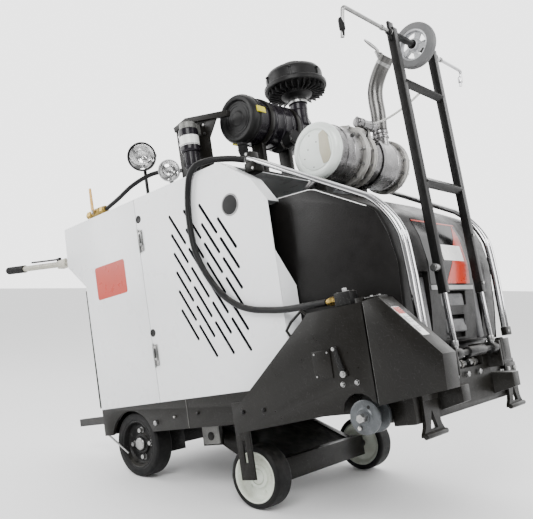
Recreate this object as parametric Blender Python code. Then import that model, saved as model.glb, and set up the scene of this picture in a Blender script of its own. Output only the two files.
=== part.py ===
"""Walk-behind diesel floor saw, standing nose-up on its lowered front axle.

Everything is laid out in the machine's own frame: u forward, y to the operator's
left and v up, with the origin on the rear axle. One empty carries that frame and
pitches the machine nose-up. Metres throughout.
"""

import math

import bmesh
import bpy
from mathutils import Matrix, Vector

PITCH = math.radians(11.548)
CENTRE_X, CENTRE_Y = 0.146, -0.006

REAR_R, REAR_WIDTH = 0.127, 0.076
FRONT_R, FRONT_WIDTH = 0.1082, 0.0769
REAR_TRACK, FRONT_TRACK = 0.671, 0.6543
FRONT_U = 0.598
FRONT_V = (FRONT_R - REAR_R - FRONT_U * math.sin(PITCH)) / math.cos(PITCH)
WHEEL_FACETS = 40

HALF = 0.389
SHEET = 0.004
RAIL_TOP, RAIL_LOW = 0.153, 0.046
RAIL_REAR, RAIL_FRONT = -0.18, 1.19
INNER = 0.278
HOOD = 0.945
TANK_HALF = 0.335
SEAM = 0.193
GAP = 0.0005

PIVOT_U, PIVOT_V = 0.33, 0.0
HORN_U, HORN_V = 0.3736, 0.157
SHAFT_U, SHAFT_V = 1.148, 0.040
GUARD_OUT, GUARD_IN = 0.469, 0.392
GUARD_SEAM = 1.2005
POINTER_U, POINTER_V = 1.296, 0.175
LADDER_HALF = 0.137
CLEANER_U, CLEANER_V, CLEANER_R = 0.593, 1.172, 0.088
CAN_U, CAN_V, CAN_R = 0.945, 0.925, 0.099
STACK_U, STACK_Y = 0.98, 0.205
BOWL_U, BOWL_Y, BOWL_V, BOWL_R = 0.655, 0.155, 1.322, 0.130
VALVE_U, VALVE_Y, VALVE_V = -0.115, -0.33, 0.982
HOSE_Y = -0.4025
SIDES = (("R", -1), ("L", 1))

for old in list(bpy.data.objects):
    bpy.data.objects.remove(old, do_unlink=True)
scene = bpy.context.scene

saw = bpy.data.objects.new("saw", None)
scene.collection.objects.link(saw)
saw.location = (-CENTRE_X, -CENTRE_Y, REAR_R)
saw.rotation_euler = (0.0, -PITCH, 0.0)


def solid(points, faces):
    """A closed mesh of these faces, its normals outward."""
    build = bmesh.new()
    corners = [build.verts.new(p) for p in points]
    for face in faces:
        build.faces.new([corners[i] for i in face])
    bmesh.ops.recalc_face_normals(build, faces=build.faces)
    mesh = bpy.data.meshes.new("solid")
    build.to_mesh(mesh)
    build.free()
    return mesh


def at(axis, a, b, along):
    """The point at (a, b) across an axis and this far along it."""
    if axis == "u":
        return (along, a, b)
    if axis == "y":
        return (a, along, b)
    return (a, b, along)


def prism(axis, outline, start, end):
    n = len(outline)
    points = [at(axis, a, b, start) for a, b in outline]
    points += [at(axis, a, b, end) for a, b in outline]
    faces = [tuple(range(n)), tuple(range(n, 2 * n))]
    faces += [(i, (i + 1) % n, n + (i + 1) % n, n + i) for i in range(n)]
    return solid(points, faces)


def box(u, y, v):
    return prism("v", [(u[0], y[0]), (u[1], y[0]), (u[1], y[1]), (u[0], y[1])], *v)


def lathe(axis, centre, profile, steps=24, turn=0.0):
    """The (radius, along) outline turned round an axis through the centre."""
    rings, points = [], []
    for radius, along in profile:
        ring = []
        for step in range(1 if radius == 0 else steps):
            angle = 2 * math.pi * (step + 0.5) / steps + turn
            a, b = radius * math.cos(angle), radius * math.sin(angle)
            ring.append(len(points))
            points.append(Vector(centre) + Vector(at(axis, a, b, along)))
        rings.append(ring)
    closed_ring = profile[0][0] != 0 or profile[-1][0] != 0
    pairs = list(zip(rings, rings[1:] + rings[:1])) if closed_ring else list(zip(rings, rings[1:]))
    faces = []
    for first, second in pairs:
        for step in range(steps):
            after = (step + 1) % steps
            face = [
                first[step % len(first)],
                first[after % len(first)],
                second[after % len(second)],
                second[step % len(second)],
            ]
            face = list(dict.fromkeys(face))
            if len(face) > 2:
                faces.append(face)
    return solid(points, faces)


def rod(axis, centre, radius, start, end, steps=12):
    return lathe(axis, centre, [(0, start), (radius, start), (radius, end), (0, end)], steps)


def sweep(path, radius, sides=8, flat=False):
    """A round or square bar along a path, its ends closed."""
    path = [Vector(p) for p in path]
    across, points = None, []
    for i, point in enumerate(path):
        way = path[min(i + 1, len(path) - 1)] - path[max(i - 1, 0)]
        way.normalize()
        if across is None:
            across = way.orthogonal() if abs(way.y) > 0.9 else way.cross(Vector((0, 1, 0)))
        across = (across - way * across.dot(way)).normalized()
        other = way.cross(across)
        for step in range(sides):
            angle = 2 * math.pi * (step + (0.5 if flat else 0.0)) / sides
            points.append(point + radius * (math.cos(angle) * across + math.sin(angle) * other))
    faces = [tuple(range(sides)), tuple(range(len(points) - sides, len(points)))]
    for ring in range(len(path) - 1):
        for step in range(sides):
            a, b = ring * sides + step, ring * sides + (step + 1) % sides
            faces.append((a, b, b + sides, a + sides))
    return solid(points, faces)


def square_bar(path, side):
    return sweep(path, side / math.sqrt(2), 4, True)


def smooth(points, count):
    """Evenly many points on a smooth curve through these."""
    points = [Vector(p) for p in points]
    points = [2 * points[0] - points[1]] + points + [2 * points[-1] - points[-2]]
    found = []
    for i in range(count):
        place = i / (count - 1) * (len(points) - 3)
        k = min(int(place), len(points) - 4)
        t = place - k
        a, b, c, d = points[k : k + 4]
        found.append(
            0.5 * (2 * b + (c - a) * t + (2 * a - 5 * b + 4 * c - d) * t**2 + (3 * b - a - 3 * c + d) * t**3)
        )
    return found


def combined(base, others, operation):
    """The base mesh joined with the others, or cut by them."""
    held = bpy.data.objects.new("held", base)
    scene.collection.objects.link(held)
    made = [held]
    for mesh in others:
        other = bpy.data.objects.new("other", mesh)
        scene.collection.objects.link(other)
        made.append(other)
        step = held.modifiers.new("step", "BOOLEAN")
        step.operation = operation
        step.solver = "EXACT"
        step.object = other
    graph = bpy.context.evaluated_depsgraph_get()
    result = bpy.data.meshes.new_from_object(held.evaluated_get(graph))
    for thing in made:
        bpy.data.objects.remove(thing, do_unlink=True)
    return result


def joined(*meshes):
    return combined(meshes[0], meshes[1:], "UNION")


def cut(base, *cutters):
    return combined(base, cutters, "DIFFERENCE")


def paint(obj, colour, metallic, roughness):
    material = bpy.data.materials.new(obj.name)
    material.use_nodes = True
    shader = material.node_tree.nodes["Principled BSDF"]
    shader.inputs["Base Color"].default_value = (*colour, 1.0)
    shader.inputs["Metallic"].default_value = metallic
    shader.inputs["Roughness"].default_value = roughness
    obj.data.materials.clear()
    obj.data.materials.append(material)
    for face in getattr(obj.data, "polygons", []):
        face.material_index = 0


def part(name, mesh, colour, metallic=0.0, roughness=0.5, pivot=(0, 0, 0)):
    mesh.transform(Matrix.Translation(-Vector(pivot)))
    obj = bpy.data.objects.new(name, mesh)
    scene.collection.objects.link(obj)
    obj.parent = saw
    obj.location = pivot
    paint(obj, colour, metallic, roughness)
    return obj


def hose(name, path, diameter, colour):
    curve = bpy.data.curves.new(name, "CURVE")
    curve.dimensions = "3D"
    curve.bevel_depth = diameter / 2
    curve.bevel_resolution = 2
    curve.use_fill_caps = True
    line = curve.splines.new("POLY")
    line.points.add(len(path) - 1)
    for point, place in zip(line.points, path):
        point.co = (*place, 1.0)
    obj = bpy.data.objects.new(name, curve)
    scene.collection.objects.link(obj)
    obj.parent = saw
    paint(obj, colour, 0.0, 0.5)


def mirrored(span, side):
    return tuple(sorted(side * value for value in span))


BLACK, DARK, WHITE = (0.012, 0.012, 0.01), (0.03, 0.03, 0.03), (0.82, 0.84, 0.83)
STEEL, CHROME, CREAM = (0.45, 0.45, 0.44), (0.75, 0.75, 0.76), (0.66, 0.70, 0.62)
BRASS, YELLOW = (0.55, 0.40, 0.12), (0.75, 0.55, 0.03)

# Frame: two inverted channels over the wheels, cross members, tow bars and bearing blocks.
arch = 0.135
half_arch = math.acos(RAIL_LOW / arch)
arch_line = [
    (arch * math.sin(t * half_arch / 7), arch * math.cos(t * half_arch / 7)) for t in range(7, -8, -1)
]
plate = [(RAIL_REAR, RAIL_TOP), (RAIL_FRONT, RAIL_TOP), (RAIL_FRONT, 0.02), (1.08, RAIL_LOW)]
plate += arch_line + [(RAIL_REAR, RAIL_LOW)]
whole = (RAIL_REAR, RAIL_FRONT)
frame_pieces = []
for _, side in SIDES:
    frame_pieces += [
        prism("y", plate, *mirrored((HALF - 0.010, HALF), side)),
        box(whole, mirrored((INNER - 0.010, HALF - 0.002), side), (0.145, RAIL_TOP)),
        box(whole, mirrored((INNER - 0.010, INNER), side), (RAIL_LOW, RAIL_TOP)),
        box((0.28, 0.38), mirrored((INNER - 0.010, INNER), side), (-0.035, 0.06)),
        box((1.098, 1.189), mirrored((0.215, INNER - 0.002), side), (-0.002, 0.150)),
        box((-0.46, -0.16), mirrored((0.284, 0.316), side), (0.090, 0.122)),
        box((-0.18, -0.17), mirrored((0.0, HALF - 0.002), side), (RAIL_LOW, RAIL_TOP)),
    ]
cross_members = [(0.12, 0.17, RAIL_LOW), (0.42, 0.46, 0.062), (0.78, 0.84, RAIL_LOW), (1.03, 1.075, RAIL_LOW)]
for rear, front, low in cross_members:
    frame_pieces.append(box((rear, front), (-INNER, INNER), (low, 0.110)))
frame_pieces.append(box((-0.175, -0.1655), (-0.04, 0.04), (0.10, 0.195)))
frame = joined(*frame_pieces)
frame_holes = [
    rod("y", (PIVOT_U, 0, PIVOT_V), 0.0170, -0.30, 0.30, 16),
    rod("y", (SHAFT_U, 0, SHAFT_V), 0.0240, -0.30, 0.30, 20),
    rod("y", (SHAFT_U, 0, SHAFT_V), 0.0400, 0.30, 0.40, 20),
    rod("y", (SHAFT_U, 0, SHAFT_V), 0.0400, -0.40, -0.30, 20),
]
part("frame", cut(frame, *frame_holes), BLACK)

# Nose: a cross tube with a square arm rising forward at each side.
nose = [box((RAIL_FRONT + GAP, 1.262), (-0.386, 0.386), (0.000, 0.125))]
for _, side in SIDES:
    arm = [(1.195, 0.004), (1.335, 0.036), (1.335, 0.084), (1.195, 0.100)]
    nose.append(prism("y", arm, *mirrored((0.172, 0.226), side)))
    nose.append(box((1.22, 1.262), mirrored((0.12, 0.175), side), (0.11, 0.196)))
    nose.append(box((1.25, 1.312), mirrored((0.160, 0.172), side), (0.11, 0.196)))
nose.append(box((1.23, 1.262), (0.300, 0.376), (0.11, 0.200)))
nose = joined(*nose)
part("front_beam", cut(nose, rod("y", (POINTER_U, 0, POINTER_V), 0.0105, -0.2, 0.2, 16)), BLACK)

# Feet: plates bolted to the nose, each with a triangular hole above its toe.
for name, side in SIDES:
    foot = [(0.268, 0.118), (0.352, 0.118), (0.356, -0.01), (0.374, -0.032), (0.374, -0.046)]
    foot += [(0.246, -0.046), (0.246, -0.032), (0.264, -0.01)]
    outline = [(side * y, v) for y, v in foot]
    body = prism("u", outline, 1.2625, 1.2745)
    toe = box((1.264, 1.292), mirrored((0.246, 0.374), side), (-0.046, -0.034))
    hole = [(side * 0.290, -0.022), (side * 0.330, -0.022), (side * 0.310, 0.030)]
    bolts = [rod("u", (0, side * y, 0.095), 0.010, 1.27, 1.283, 6) for y in (0.285, 0.342)]
    body = joined(body, toe, *bolts)
    part("front_foot_" + name, cut(body, prism("u", hole, 1.25, 1.29)), BLACK)

# Rear axle: a square beam with a hydraulic motor at each end, seated under the inner plates.
axle = [box((-0.03, 0.03), (-0.262, 0.262), (-0.030, 0.030))]
for _, side in SIDES:
    axle.append(box((-0.055, 0.055), mirrored((0.170, 0.262), side), (-0.052, RAIL_LOW - GAP)))
    axle.append(rod("y", (0, 0, 0), 0.045, *mirrored((0.25, 0.292), side), 16))
    axle.append(rod("y", (0, 0, 0), 0.020, *mirrored((0.28, 0.352), side), 16))
part("rear_axle", joined(*axle), DARK)


def wheel(kind, name, side, place, radius, width, track, rim, bore, dish, colour):
    """A solid tyre and its dished hub, the treads' facets flat to the ground."""
    out = radius / math.cos(math.pi / WHEEL_FACETS)
    near, far = side * (track - width) / 2, side * (track + width) / 2
    edge = side * 0.005
    turn = -math.pi / 2 - PITCH
    tyre = [(rim, near), (out - 0.006, near), (out, near + edge), (out, far - edge)]
    tyre += [(out - 0.006, far), (rim, far)]
    if side < 0:
        tyre.reverse()
    mesh = lathe("y", place, tyre, WHEEL_FACETS, turn)
    part(kind + "_tyre_" + name, mesh, BLACK, 0.0, 0.7, place)
    edge_r = rim - 0.0004
    hub = [(bore, near + side * 0.001), (edge_r, near + side * 0.001), (edge_r, far - side * 0.002)]
    hub += [(edge_r - 0.006, far - side * 0.002), (edge_r - 0.014, far - side * dish)]
    hub += [(0.040, far - side * dish), (0.036, far - side * 0.022), (0.030, far - side * 0.008)]
    hub += [(0.0, far - side * 0.008), (0.0, far - side * 0.016), (bore, far - side * 0.016)]
    disc = lathe("y", place, hub, 28)
    lugs = []
    for k in range(5):
        angle = 2 * math.pi * k / 5 + 0.3
        spot = (place[0] + 0.056 * math.cos(angle), 0, place[2] + 0.056 * math.sin(angle))
        lugs.append(rod("y", spot, 0.0075, *mirrored((side * far - dish - 0.004, side * far - dish + 0.009), side), 6))
    part(kind + "_hub_" + name, joined(disc, *lugs), colour, 0.1, 0.45, place)


for name, side in SIDES:
    wheel("rear", name, side, (0, 0, 0), REAR_R, REAR_WIDTH, REAR_TRACK, 0.096, 0.0208, 0.040, DARK)
    place = (FRONT_U, 0, FRONT_V)
    wheel("front", name, side, place, FRONT_R, FRONT_WIDTH, FRONT_TRACK, 0.089, 0.0168, 0.034, CREAM)

# Front axle carriage: arms and a closing plate on a cross shaft, a box beam, stub axles and the lift horn.
carriage = [
    box((0.560, 0.636), (-0.262, 0.262), (-0.180, -0.103)),
    rod("y", (FRONT_U, 0, FRONT_V), 0.016, -0.346, 0.346, 16),
    rod("y", (PIVOT_U, 0, PIVOT_V), 0.016, -0.284, 0.284, 16),
    rod("y", (PIVOT_U, 0, PIVOT_V), 0.027, -0.250, 0.250, 16),
]
arm = [(0.315, -0.028), (0.345, 0.028), (0.605, -0.106), (0.570, -0.176)]
for _, side in SIDES:
    carriage.append(prism("y", arm, *mirrored((0.205, 0.235), side)))
carriage.append(prism("y", [(0.340, 0.004), (0.350, 0.020), (0.600, -0.108), (0.592, -0.124)], -0.206, 0.206))
carriage.append(prism("y", [(0.308, 0), (0.35, -0.01), (0.392, 0.157), (0.3736, 0.176), (0.353, 0.160)], -0.012, 0.012))
horn_bore = rod("y", (HORN_U, 0, 0.154), 0.0105, -0.03, 0.03, 16)
part("axle_carriage", cut(joined(*carriage), horn_bore), BLACK, pivot=(PIVOT_U, 0, PIVOT_V))

# Lift cylinder: the barrel seated on the rear lug, the rod forked over the horn.
barrel = [(0.0, -0.150), (0.030, -0.150), (0.030, 0.215), (0.0145, 0.215), (0.0145, -0.09), (0.0, -0.09)]
barrel = lathe("u", (0, 0, HORN_V), barrel, 16)
seat = box((-0.1650, -0.140), (-0.02, 0.02), (0.137, 0.177))
part("lift_barrel", joined(barrel, seat), DARK)
piston = [
    rod("u", (0, 0, HORN_V), 0.0125, 0.030, 0.345, 12),
    box((0.335, 0.348), (-0.024, 0.024), (0.145, 0.169)),
    box((0.340, 0.388), (0.0135, 0.024), (0.145, 0.169)),
    box((0.340, 0.388), (-0.024, -0.0135), (0.145, 0.169)),
    rod("y", (HORN_U, 0, HORN_V), 0.006, -0.027, 0.027, 12),
]
part("lift_rod", joined(*piston), CHROME, 1.0, 0.15, (HORN_U, 0, HORN_V))

# Cowl: rear side walls, rear wall with its overhang, and the hood top, one sheet-metal shell.
rear_line = [(-0.181, 0.1535), (-0.184, 0.673), (-0.297, 0.779), (-0.289, HOOD)]
cowl = []
for _, side in SIDES:
    outline = [(SEAM - 0.001, 0.1535)] + rear_line + [(SEAM - 0.001, HOOD)]
    cowl.append(prism("y", outline, *mirrored((HALF - SHEET, HALF), side)))
    cowl.append(box((SEAM - 0.03, SEAM + 0.03), mirrored((0.372, 0.3845), side), (0.154, 0.943)))
for low, high in zip(rear_line, rear_line[1:]):
    band = [low, high, (high[0] + SHEET, high[1]), (low[0] + SHEET, low[1])]
    cowl.append(prism("y", band, -0.387, 0.387))
cowl.append(box((-0.288, 0.661), (-0.3845, 0.3845), (HOOD - SHEET, HOOD)))
cowl.append(box((-0.288, SEAM - 0.001), (-0.387, 0.387), (HOOD - SHEET, HOOD)))
cowl = joined(*cowl)
grips = [rod("u", (0, side * 0.32, 0.814), 0.0185, -0.33, -0.26, 16) for _, side in SIDES]
part("cowl_shell", cut(cowl, *grips), WHITE, 0.0, 0.35)

# Side doors: folded sheet with slanted louvre slots and a rolled shoulder at the front top.
door_line = [(SEAM + 0.001, 0.1535), (0.855, 0.1535), (0.857, 0.760), (0.799, 0.849), (0.667, HOOD)]
door_line += [(SEAM + 0.001, HOOD)]
SLOT_PITCH_U, SLOT_PITCH_V, SLOT_TOP_U, SLOT_TOP_V = 0.081, 0.0705, 0.381, 0.831
SLOT_RUN, SLOT_DROP, SLOT_WIDE = 0.070, 0.124, 0.0085
slots_in_column = (6, 7, 7, 6)
first_in_column = (0, 0, 0, 1)
for name, side in SIDES:
    door = prism("y", door_line, *mirrored((HALF - SHEET, HALF), side))
    shoulder = [(0.667, HOOD - 0.0005), (0.799, 0.849), (0.857, 0.760), (0.852, 0.758), (0.795, 0.846), (0.663, HOOD - SHEET)]
    lip = prism("y", shoulder, *mirrored((0.330, HALF - 0.002), side))
    cutters = []
    for column, count in enumerate(slots_in_column):
        for row in range(count):
            u = SLOT_TOP_U + SLOT_PITCH_U * column
            drop = row + first_in_column[column]
            v = SLOT_TOP_V - SLOT_PITCH_V * drop
            middle = Vector((u + SLOT_RUN / 2, 0, v - SLOT_DROP / 2))
            way = Vector((SLOT_RUN, 0, -SLOT_DROP)).normalized()
            over = Vector((way.z, 0, -way.x)) * SLOT_WIDE / 2
            long = way * math.hypot(SLOT_RUN, SLOT_DROP) / 2
            ends = [middle + long + over, middle + long - over, middle - long - over, middle - long + over]
            cutters.append(prism("y", [(p.x, p.z) for p in ends], *mirrored((0.37, 0.40), side)))
    inward = [(0.851, 0.3885), (0.8545, 0.3885), (0.884, 0.3395), (0.879, 0.3395)]
    flange = prism("v", [(u, side * y) for u, y in inward], 0.1535, 0.600)
    door = cut(joined(door, lip, flange), *cutters)
    part("side_door_" + name, door, WHITE, 0.0, 0.35)

# Door latches on the near side: a pull tab on a short pivot.
for name, v in (("upper", 0.777), ("lower", 0.332)):
    tab = box((0.200, 0.222), (-0.397, -HALF - GAP), (v - 0.042, v + 0.042))
    knuckle = rod("v", (0.200, -0.3935, 0), 0.0038, v - 0.046, v + 0.046, 8)
    part("latch_" + name, joined(tab, knuckle), STEEL, 0.9, 0.35, (0.200, -0.3935, v))

# Operator's panel on the overhang's rear face, with its lever and stop button.
face = box((-0.3085, -0.2975), (-0.27, 0.27), (0.790, 0.935))
knobs = [rod("u", (0, y, 0.905), 0.0085, -0.320, -0.30, 10) for y in (-0.22, -0.18, -0.14, 0.10, 0.14)]
dials = [rod("u", (0, y, 0.865), 0.030, -0.314, -0.30, 20) for y in (-0.20, -0.12, 0.12, 0.20)]
collar = rod("u", (0, -0.04, 0.865), 0.018, -0.318, -0.30, 16)
boss = box((-0.345, -0.30), (0.018, 0.062), (0.825, 0.870))
stop_bore = rod("u", (0, -0.04, 0.865), 0.0105, -0.33, -0.3030, 16)
seat = cut(boss, box((-0.36, -0.312), (0.0345, 0.0455), (0.833, 0.88)))
panel = joined(cut(joined(face, collar), stop_bore), seat, *knobs, *dials)
part("control_panel", panel, DARK, 0.0, 0.5)
stem = rod("u", (0, -0.04, 0.865), 0.0098, -0.326, -0.3095, 14)
cap = rod("u", (0, -0.04, 0.865), 0.021, -0.340, -0.3245, 16)
part("stop_button", joined(stem, cap), (0.6, 0.02, 0.01), 0.0, 0.35, (-0.3245, -0.04, 0.865))
lever = [
    rod("y", (-0.328, 0, 0.850), 0.0075, 0.0352, 0.0448, 12),
    sweep([(-0.328, 0.04, 0.850), (-0.360, 0.04, 0.905), (-0.372, 0.04, 0.955)], 0.0045),
    lathe("v", (-0.374, 0.04, 0.965), [(0, -0.022), (0.014, -0.016), (0.017, 0.0), (0.013, 0.016), (0, 0.022)], 12),
]
part("speed_lever", joined(*lever), DARK, 0.2, 0.4, (-0.328, 0.04, 0.850))

# Handlebars: tubes sliding in the rear wall, each with a rubber grip.
for name, side in SIDES:
    y = side * 0.32
    bar = [(-0.02, y, 0.814), (-0.33, y, 0.814), (-0.42, y, 0.826), (-0.760, y, 0.874), (-0.905, y, 0.895)]
    grip = [(-0.757, y, 0.8736), (-0.912, y, 0.896)]
    shape = joined(sweep(bar, 0.0135, 10), sweep(grip, 0.0185, 10))
    part("handlebar_" + name, shape, (0.35, 0.34, 0.30), 0.3, 0.5, (-0.33, y, 0.814))

# Engine: crankcase, sump, head, cooling fan drive and feet on the cross members.
engine = [
    box((0.29, 0.80), (-0.17, 0.17), (0.27, 0.56)),
    box((0.34, 0.76), (-0.12, 0.12), (0.20, 0.29)),
    box((0.33, 0.77), (-0.13, 0.13), (0.55, 0.70)),
    box((0.36, 0.74), (-0.10, 0.10), (0.69, 0.745)),
    rod("u", (0, 0, 0.40), 0.19, 0.255, 0.30, 24),
    rod("u", (0, 0, 0.52), 0.030, 0.79, 0.815, 16),
    rod("y", (0.50, 0, 0.47), 0.045, 0.15, 0.26, 14),
    rod("y", (0.66, 0, 0.36), 0.055, -0.25, -0.15, 14),
]
for u in (0.42, 0.785):
    for _, side in SIDES:
        engine.append(box((u, u + 0.04), mirrored((0.14, 0.22), side), (0.1105, 0.32)))
engine.append(box((0.115, 0.27), (-0.09, 0.09), (0.33, 0.50)))
part("engine_block", joined(*engine), (0.10, 0.11, 0.12), 0.3, 0.5)

# Cooling pack and its fan, upright ahead of the engine.
core = box((0.888, 0.938), (-0.30, 0.30), (0.16, 0.74))
tanks = [box((0.884, 0.946), (-0.31, 0.31), (0.70, 0.755)), box((0.880, 0.946), (-0.31, 0.31), (0.154, 0.21))]
shroud = lathe("u", (0, 0, 0.46), [(0.235, 0.845), (0.243, 0.845), (0.243, 0.892), (0.235, 0.892)], 28)
part("radiator", joined(core, shroud, *tanks), DARK, 0.2, 0.5)
blades = [rod("u", (0, 0, 0.46), 0.045, 0.835, 0.870, 16)]
for k in range(6):
    angle = math.pi * k / 3
    over, up = math.cos(angle), math.sin(angle)
    root, tip = 0.03, 0.222
    path = [(0.853, root * over, 0.46 + root * up), (0.853, tip * over, 0.46 + tip * up)]
    blade = prism("v", [(0.840, -0.038), (0.844, -0.040), (0.866, 0.038), (0.862, 0.040)], root, tip)
    blade.transform(Matrix.Translation((0, 0, 0.46)) @ Matrix.Rotation(angle, 4, "X"))
    blades.append(blade)
part("cooling_fan", joined(*blades), DARK, 0.0, 0.5, (0.853, 0, 0.46))

# Fuel tank: a moulded box across the nose with rounded shoulders, cheeks and front recesses.
tank_line = [(0.956, 0.160), (1.175, 0.160), (1.20, 0.207), (1.238, 0.207), (1.252, 0.321), (1.261, 0.468)]
tank_line += [(1.246, 0.559), (1.216, 0.634), (1.190, 0.656), (0.999, 0.762), (0.956, 0.765)]
tank = prism("y", tank_line, -TANK_HALF, TANK_HALF)
cheek_line = [(0.8875, 0.160), (1.00, 0.160), (1.00, 0.762), (0.862, 0.770), (0.862, 0.604), (0.8875, 0.602)]
cheeks = [prism("y", cheek_line, *mirrored((TANK_HALF - SHEET, TANK_HALF), side)) for _, side in SIDES]
recess = [
    box((1.235, 1.30), (-0.09, 0.09), (0.330, 0.395)),
    box((1.225, 1.30), (-0.07, 0.07), (0.225, 0.300)),
    box((1.235, 1.30), (-0.215, -0.160), (0.20, 0.44)),
    box((1.235, 1.30), (0.160, 0.215), (0.20, 0.44)),
]
body = cut(joined(tank, *cheeks), *recess)
part("fuel_tank", body, BLACK, 0.0, 0.35)

# Chrome guard rails: a pair of tubes over each cheek, held by a black bracket behind.
rail_path = [(0.745, 0.944), (0.80, 0.912), (1.127, 0.719), (1.196, 0.674), (1.242, 0.618), (1.268, 0.568)]
rail_path += [(1.278, 0.526), (1.284, 0.42), (1.286, 0.225)]
for name, side in SIDES:
    tubes = [sweep([(u, side * y, v) for u, v in rail_path], 0.0092) for y in (0.318, 0.291)]
    ties = [
        box((0.728, 0.775), mirrored((0.276, 0.3285), side), (0.885, 0.968)),
        box((1.276, 1.298), mirrored((0.279, 0.330), side), (0.208, 0.240)),
    ]
    part("guard_rail_" + name, joined(*tubes, *ties), CHROME, 1.0, 0.12)

# Exhaust treatment canister: two drums clamped at a wide flange, on feet over the cooling pack.
drum = [(0.0, -0.205), (0.078, -0.205), (0.090, -0.200), (CAN_R, -0.185), (CAN_R, -0.045), (0.111, -0.045)]
drum += [(0.111, -0.015), (0.092, -0.015), (0.092, 0.015), (0.106, 0.015), (0.106, 0.035), (0.094, 0.035)]
drum += [(0.094, 0.245), (0.104, 0.245), (0.104, 0.270), (0.070, 0.279), (0.0, 0.279)]
can = [lathe("y", (CAN_U, 0, CAN_V), drum, 32)]
can.append(rod("v", (STACK_U + 0.015, STACK_Y - 0.03, 0), 0.031, 0.95, 1.0415, 16))
can.append(rod("y", (1.015, 0, 1.035), 0.019, -0.02, 0.100, 12))
can.append(box((0.992, 1.012), (0.04, 0.075), (0.98, 1.03)))
for y in (-0.13, 0.10):
    can.append(box((0.895, 0.935), (y - 0.02, y + 0.02), (0.7555, 0.86)))
pipe = [(0.88, 0.02, 0.90), (0.80, 0.02, 0.885), (0.735, 0.02, 0.85), (0.705, 0.02, 0.80), (0.700, 0.02, 0.765)]
can.append(sweep(smooth(pipe, 8), 0.032, 12))
can.append(rod("v", (0.70, 0.02, 0), 0.040, 0.7457, 0.778, 12))
part("exhaust_canister", joined(*can), (0.62, 0.62, 0.61), 0.8, 0.35)

# Exhaust stack: a pipe rising from the canister, leaning forward, its outlet bored out, with two ears
# for the rain cap's hinge.
stack_y = STACK_Y - 0.03
stack_line = [(0.995, 1.0455), (1.000, 1.10), (1.000, 1.17), (1.010, 1.215), (1.038, 1.262), (1.0785, 1.305)]
stack_path = smooth([(u, stack_y, v) for u, v in stack_line], 14)
bore_path = [stack_path[-3] + (stack_path[-1] - stack_path[-3]) * k for k in (0.0, 0.5, 1.0, 1.3)]
stack = cut(sweep(stack_path, 0.029, 16), sweep(bore_path, 0.0265, 16))
ear_line = [(-0.022, 0.0212), (-0.006, 0.0212), (0.004, 0.0430), (0.004, 0.0490), (-0.007, 0.0490)]
ear_line = [(1.0785 + 0.685 * a - 0.728 * b, 1.305 + 0.728 * a + 0.685 * b) for a, b in ear_line]
ears = [prism("y", ear_line, stack_y + y - 0.0015, stack_y + y + 0.0015) for y in (-0.018, 0.018)]
part("exhaust_stack", joined(stack, *ears), STEEL, 1.0, 0.3)

# Rain cap: a flap on a hinge behind the outlet, leaning back open.
CAP_U, CAP_V = 1.045, 1.335
flap_way = Vector((-0.55, 0, 0.835)).normalized()
flap_over = Vector((flap_way.z, 0, -flap_way.x))
flap = lathe("v", (0, 0, 0), [(0, 0), (0.036, 0), (0.036, 0.0035), (0, 0.0035)], 20)
turned = Matrix((flap_way, (0, 1, 0), flap_over)).transposed().to_4x4()
flap.transform(Matrix.Translation(Vector((CAP_U, stack_y, CAP_V)) + flap_way * 0.046) @ turned)
pin = rod("y", (CAP_U, 0, CAP_V), 0.004, stack_y - 0.016, stack_y + 0.016, 10)
tongue = box((0.0, 0.03), (-0.010, 0.010), (0.0, 0.003))
tongue.transform(Matrix.Translation((CAP_U, stack_y, CAP_V)) @ turned)
part("rain_cap", joined(flap, pin, tongue), STEEL, 0.9, 0.4, (CAP_U, stack_y, CAP_V))

# Air cleaner: ribbed body with an inlet stub, a clipped cover and a rubber dust valve.
shell = [(0.0, -0.128), (CLEANER_R, -0.128)]
for y in (-0.03, 0.02, 0.07):
    shell += [(CLEANER_R, y - 0.006), (CLEANER_R + 0.004, y - 0.004), (CLEANER_R + 0.004, y + 0.004), (CLEANER_R, y + 0.006)]
shell += [(CLEANER_R, 0.20), (0.074, 0.212), (0.0, 0.212)]
inlet = rod("v", (BOWL_U, BOWL_Y, 0), 0.036, 1.18, 1.268, 16)
outlet = rod("u", (0, 0.045, 1.10), 0.030, 0.585, 0.70, 14)
part("air_cleaner", joined(lathe("y", (CLEANER_U, 0, CLEANER_V), shell, 28), inlet, outlet), DARK, 0.0, 0.45)
lid = [(0.0, -0.172), (0.030, -0.172), (0.034, -0.166), (0.072, -0.166), (0.080, -0.176), (0.086, -0.176)]
lid += [(0.094, -0.160), (0.094, -0.1285), (0.0, -0.1285)]
cover = [lathe("y", (CLEANER_U, 0, CLEANER_V), lid, 28), rod("v", (CLEANER_U - 0.01, -0.148, 0), 0.020, 1.07, 1.11, 14)]
for angle in (55, 175, 295):
    clip = box((-0.012, 0.012), (-0.150, -0.112), (0.0946, 0.100))
    clip = joined(clip, box((-0.012, 0.012), (-0.158, -0.146), (0.085, 0.100)))
    clip.transform(Matrix.Translation((CLEANER_U, 0, CLEANER_V)) @ Matrix.Rotation(math.radians(angle - 90), 4, "Y"))
    cover.append(clip)
part("air_cleaner_cover", joined(*cover), DARK, 0.0, 0.4)
valve = [(0, 1.0695), (0.019, 1.0695), (0.021, 1.055), (0.016, 1.030), (0.019, 1.012), (0.0, 1.008)]
part("dust_valve", lathe("v", (CLEANER_U - 0.01, -0.148, 0), valve, 14), BLACK, 0.0, 0.7)

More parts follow.
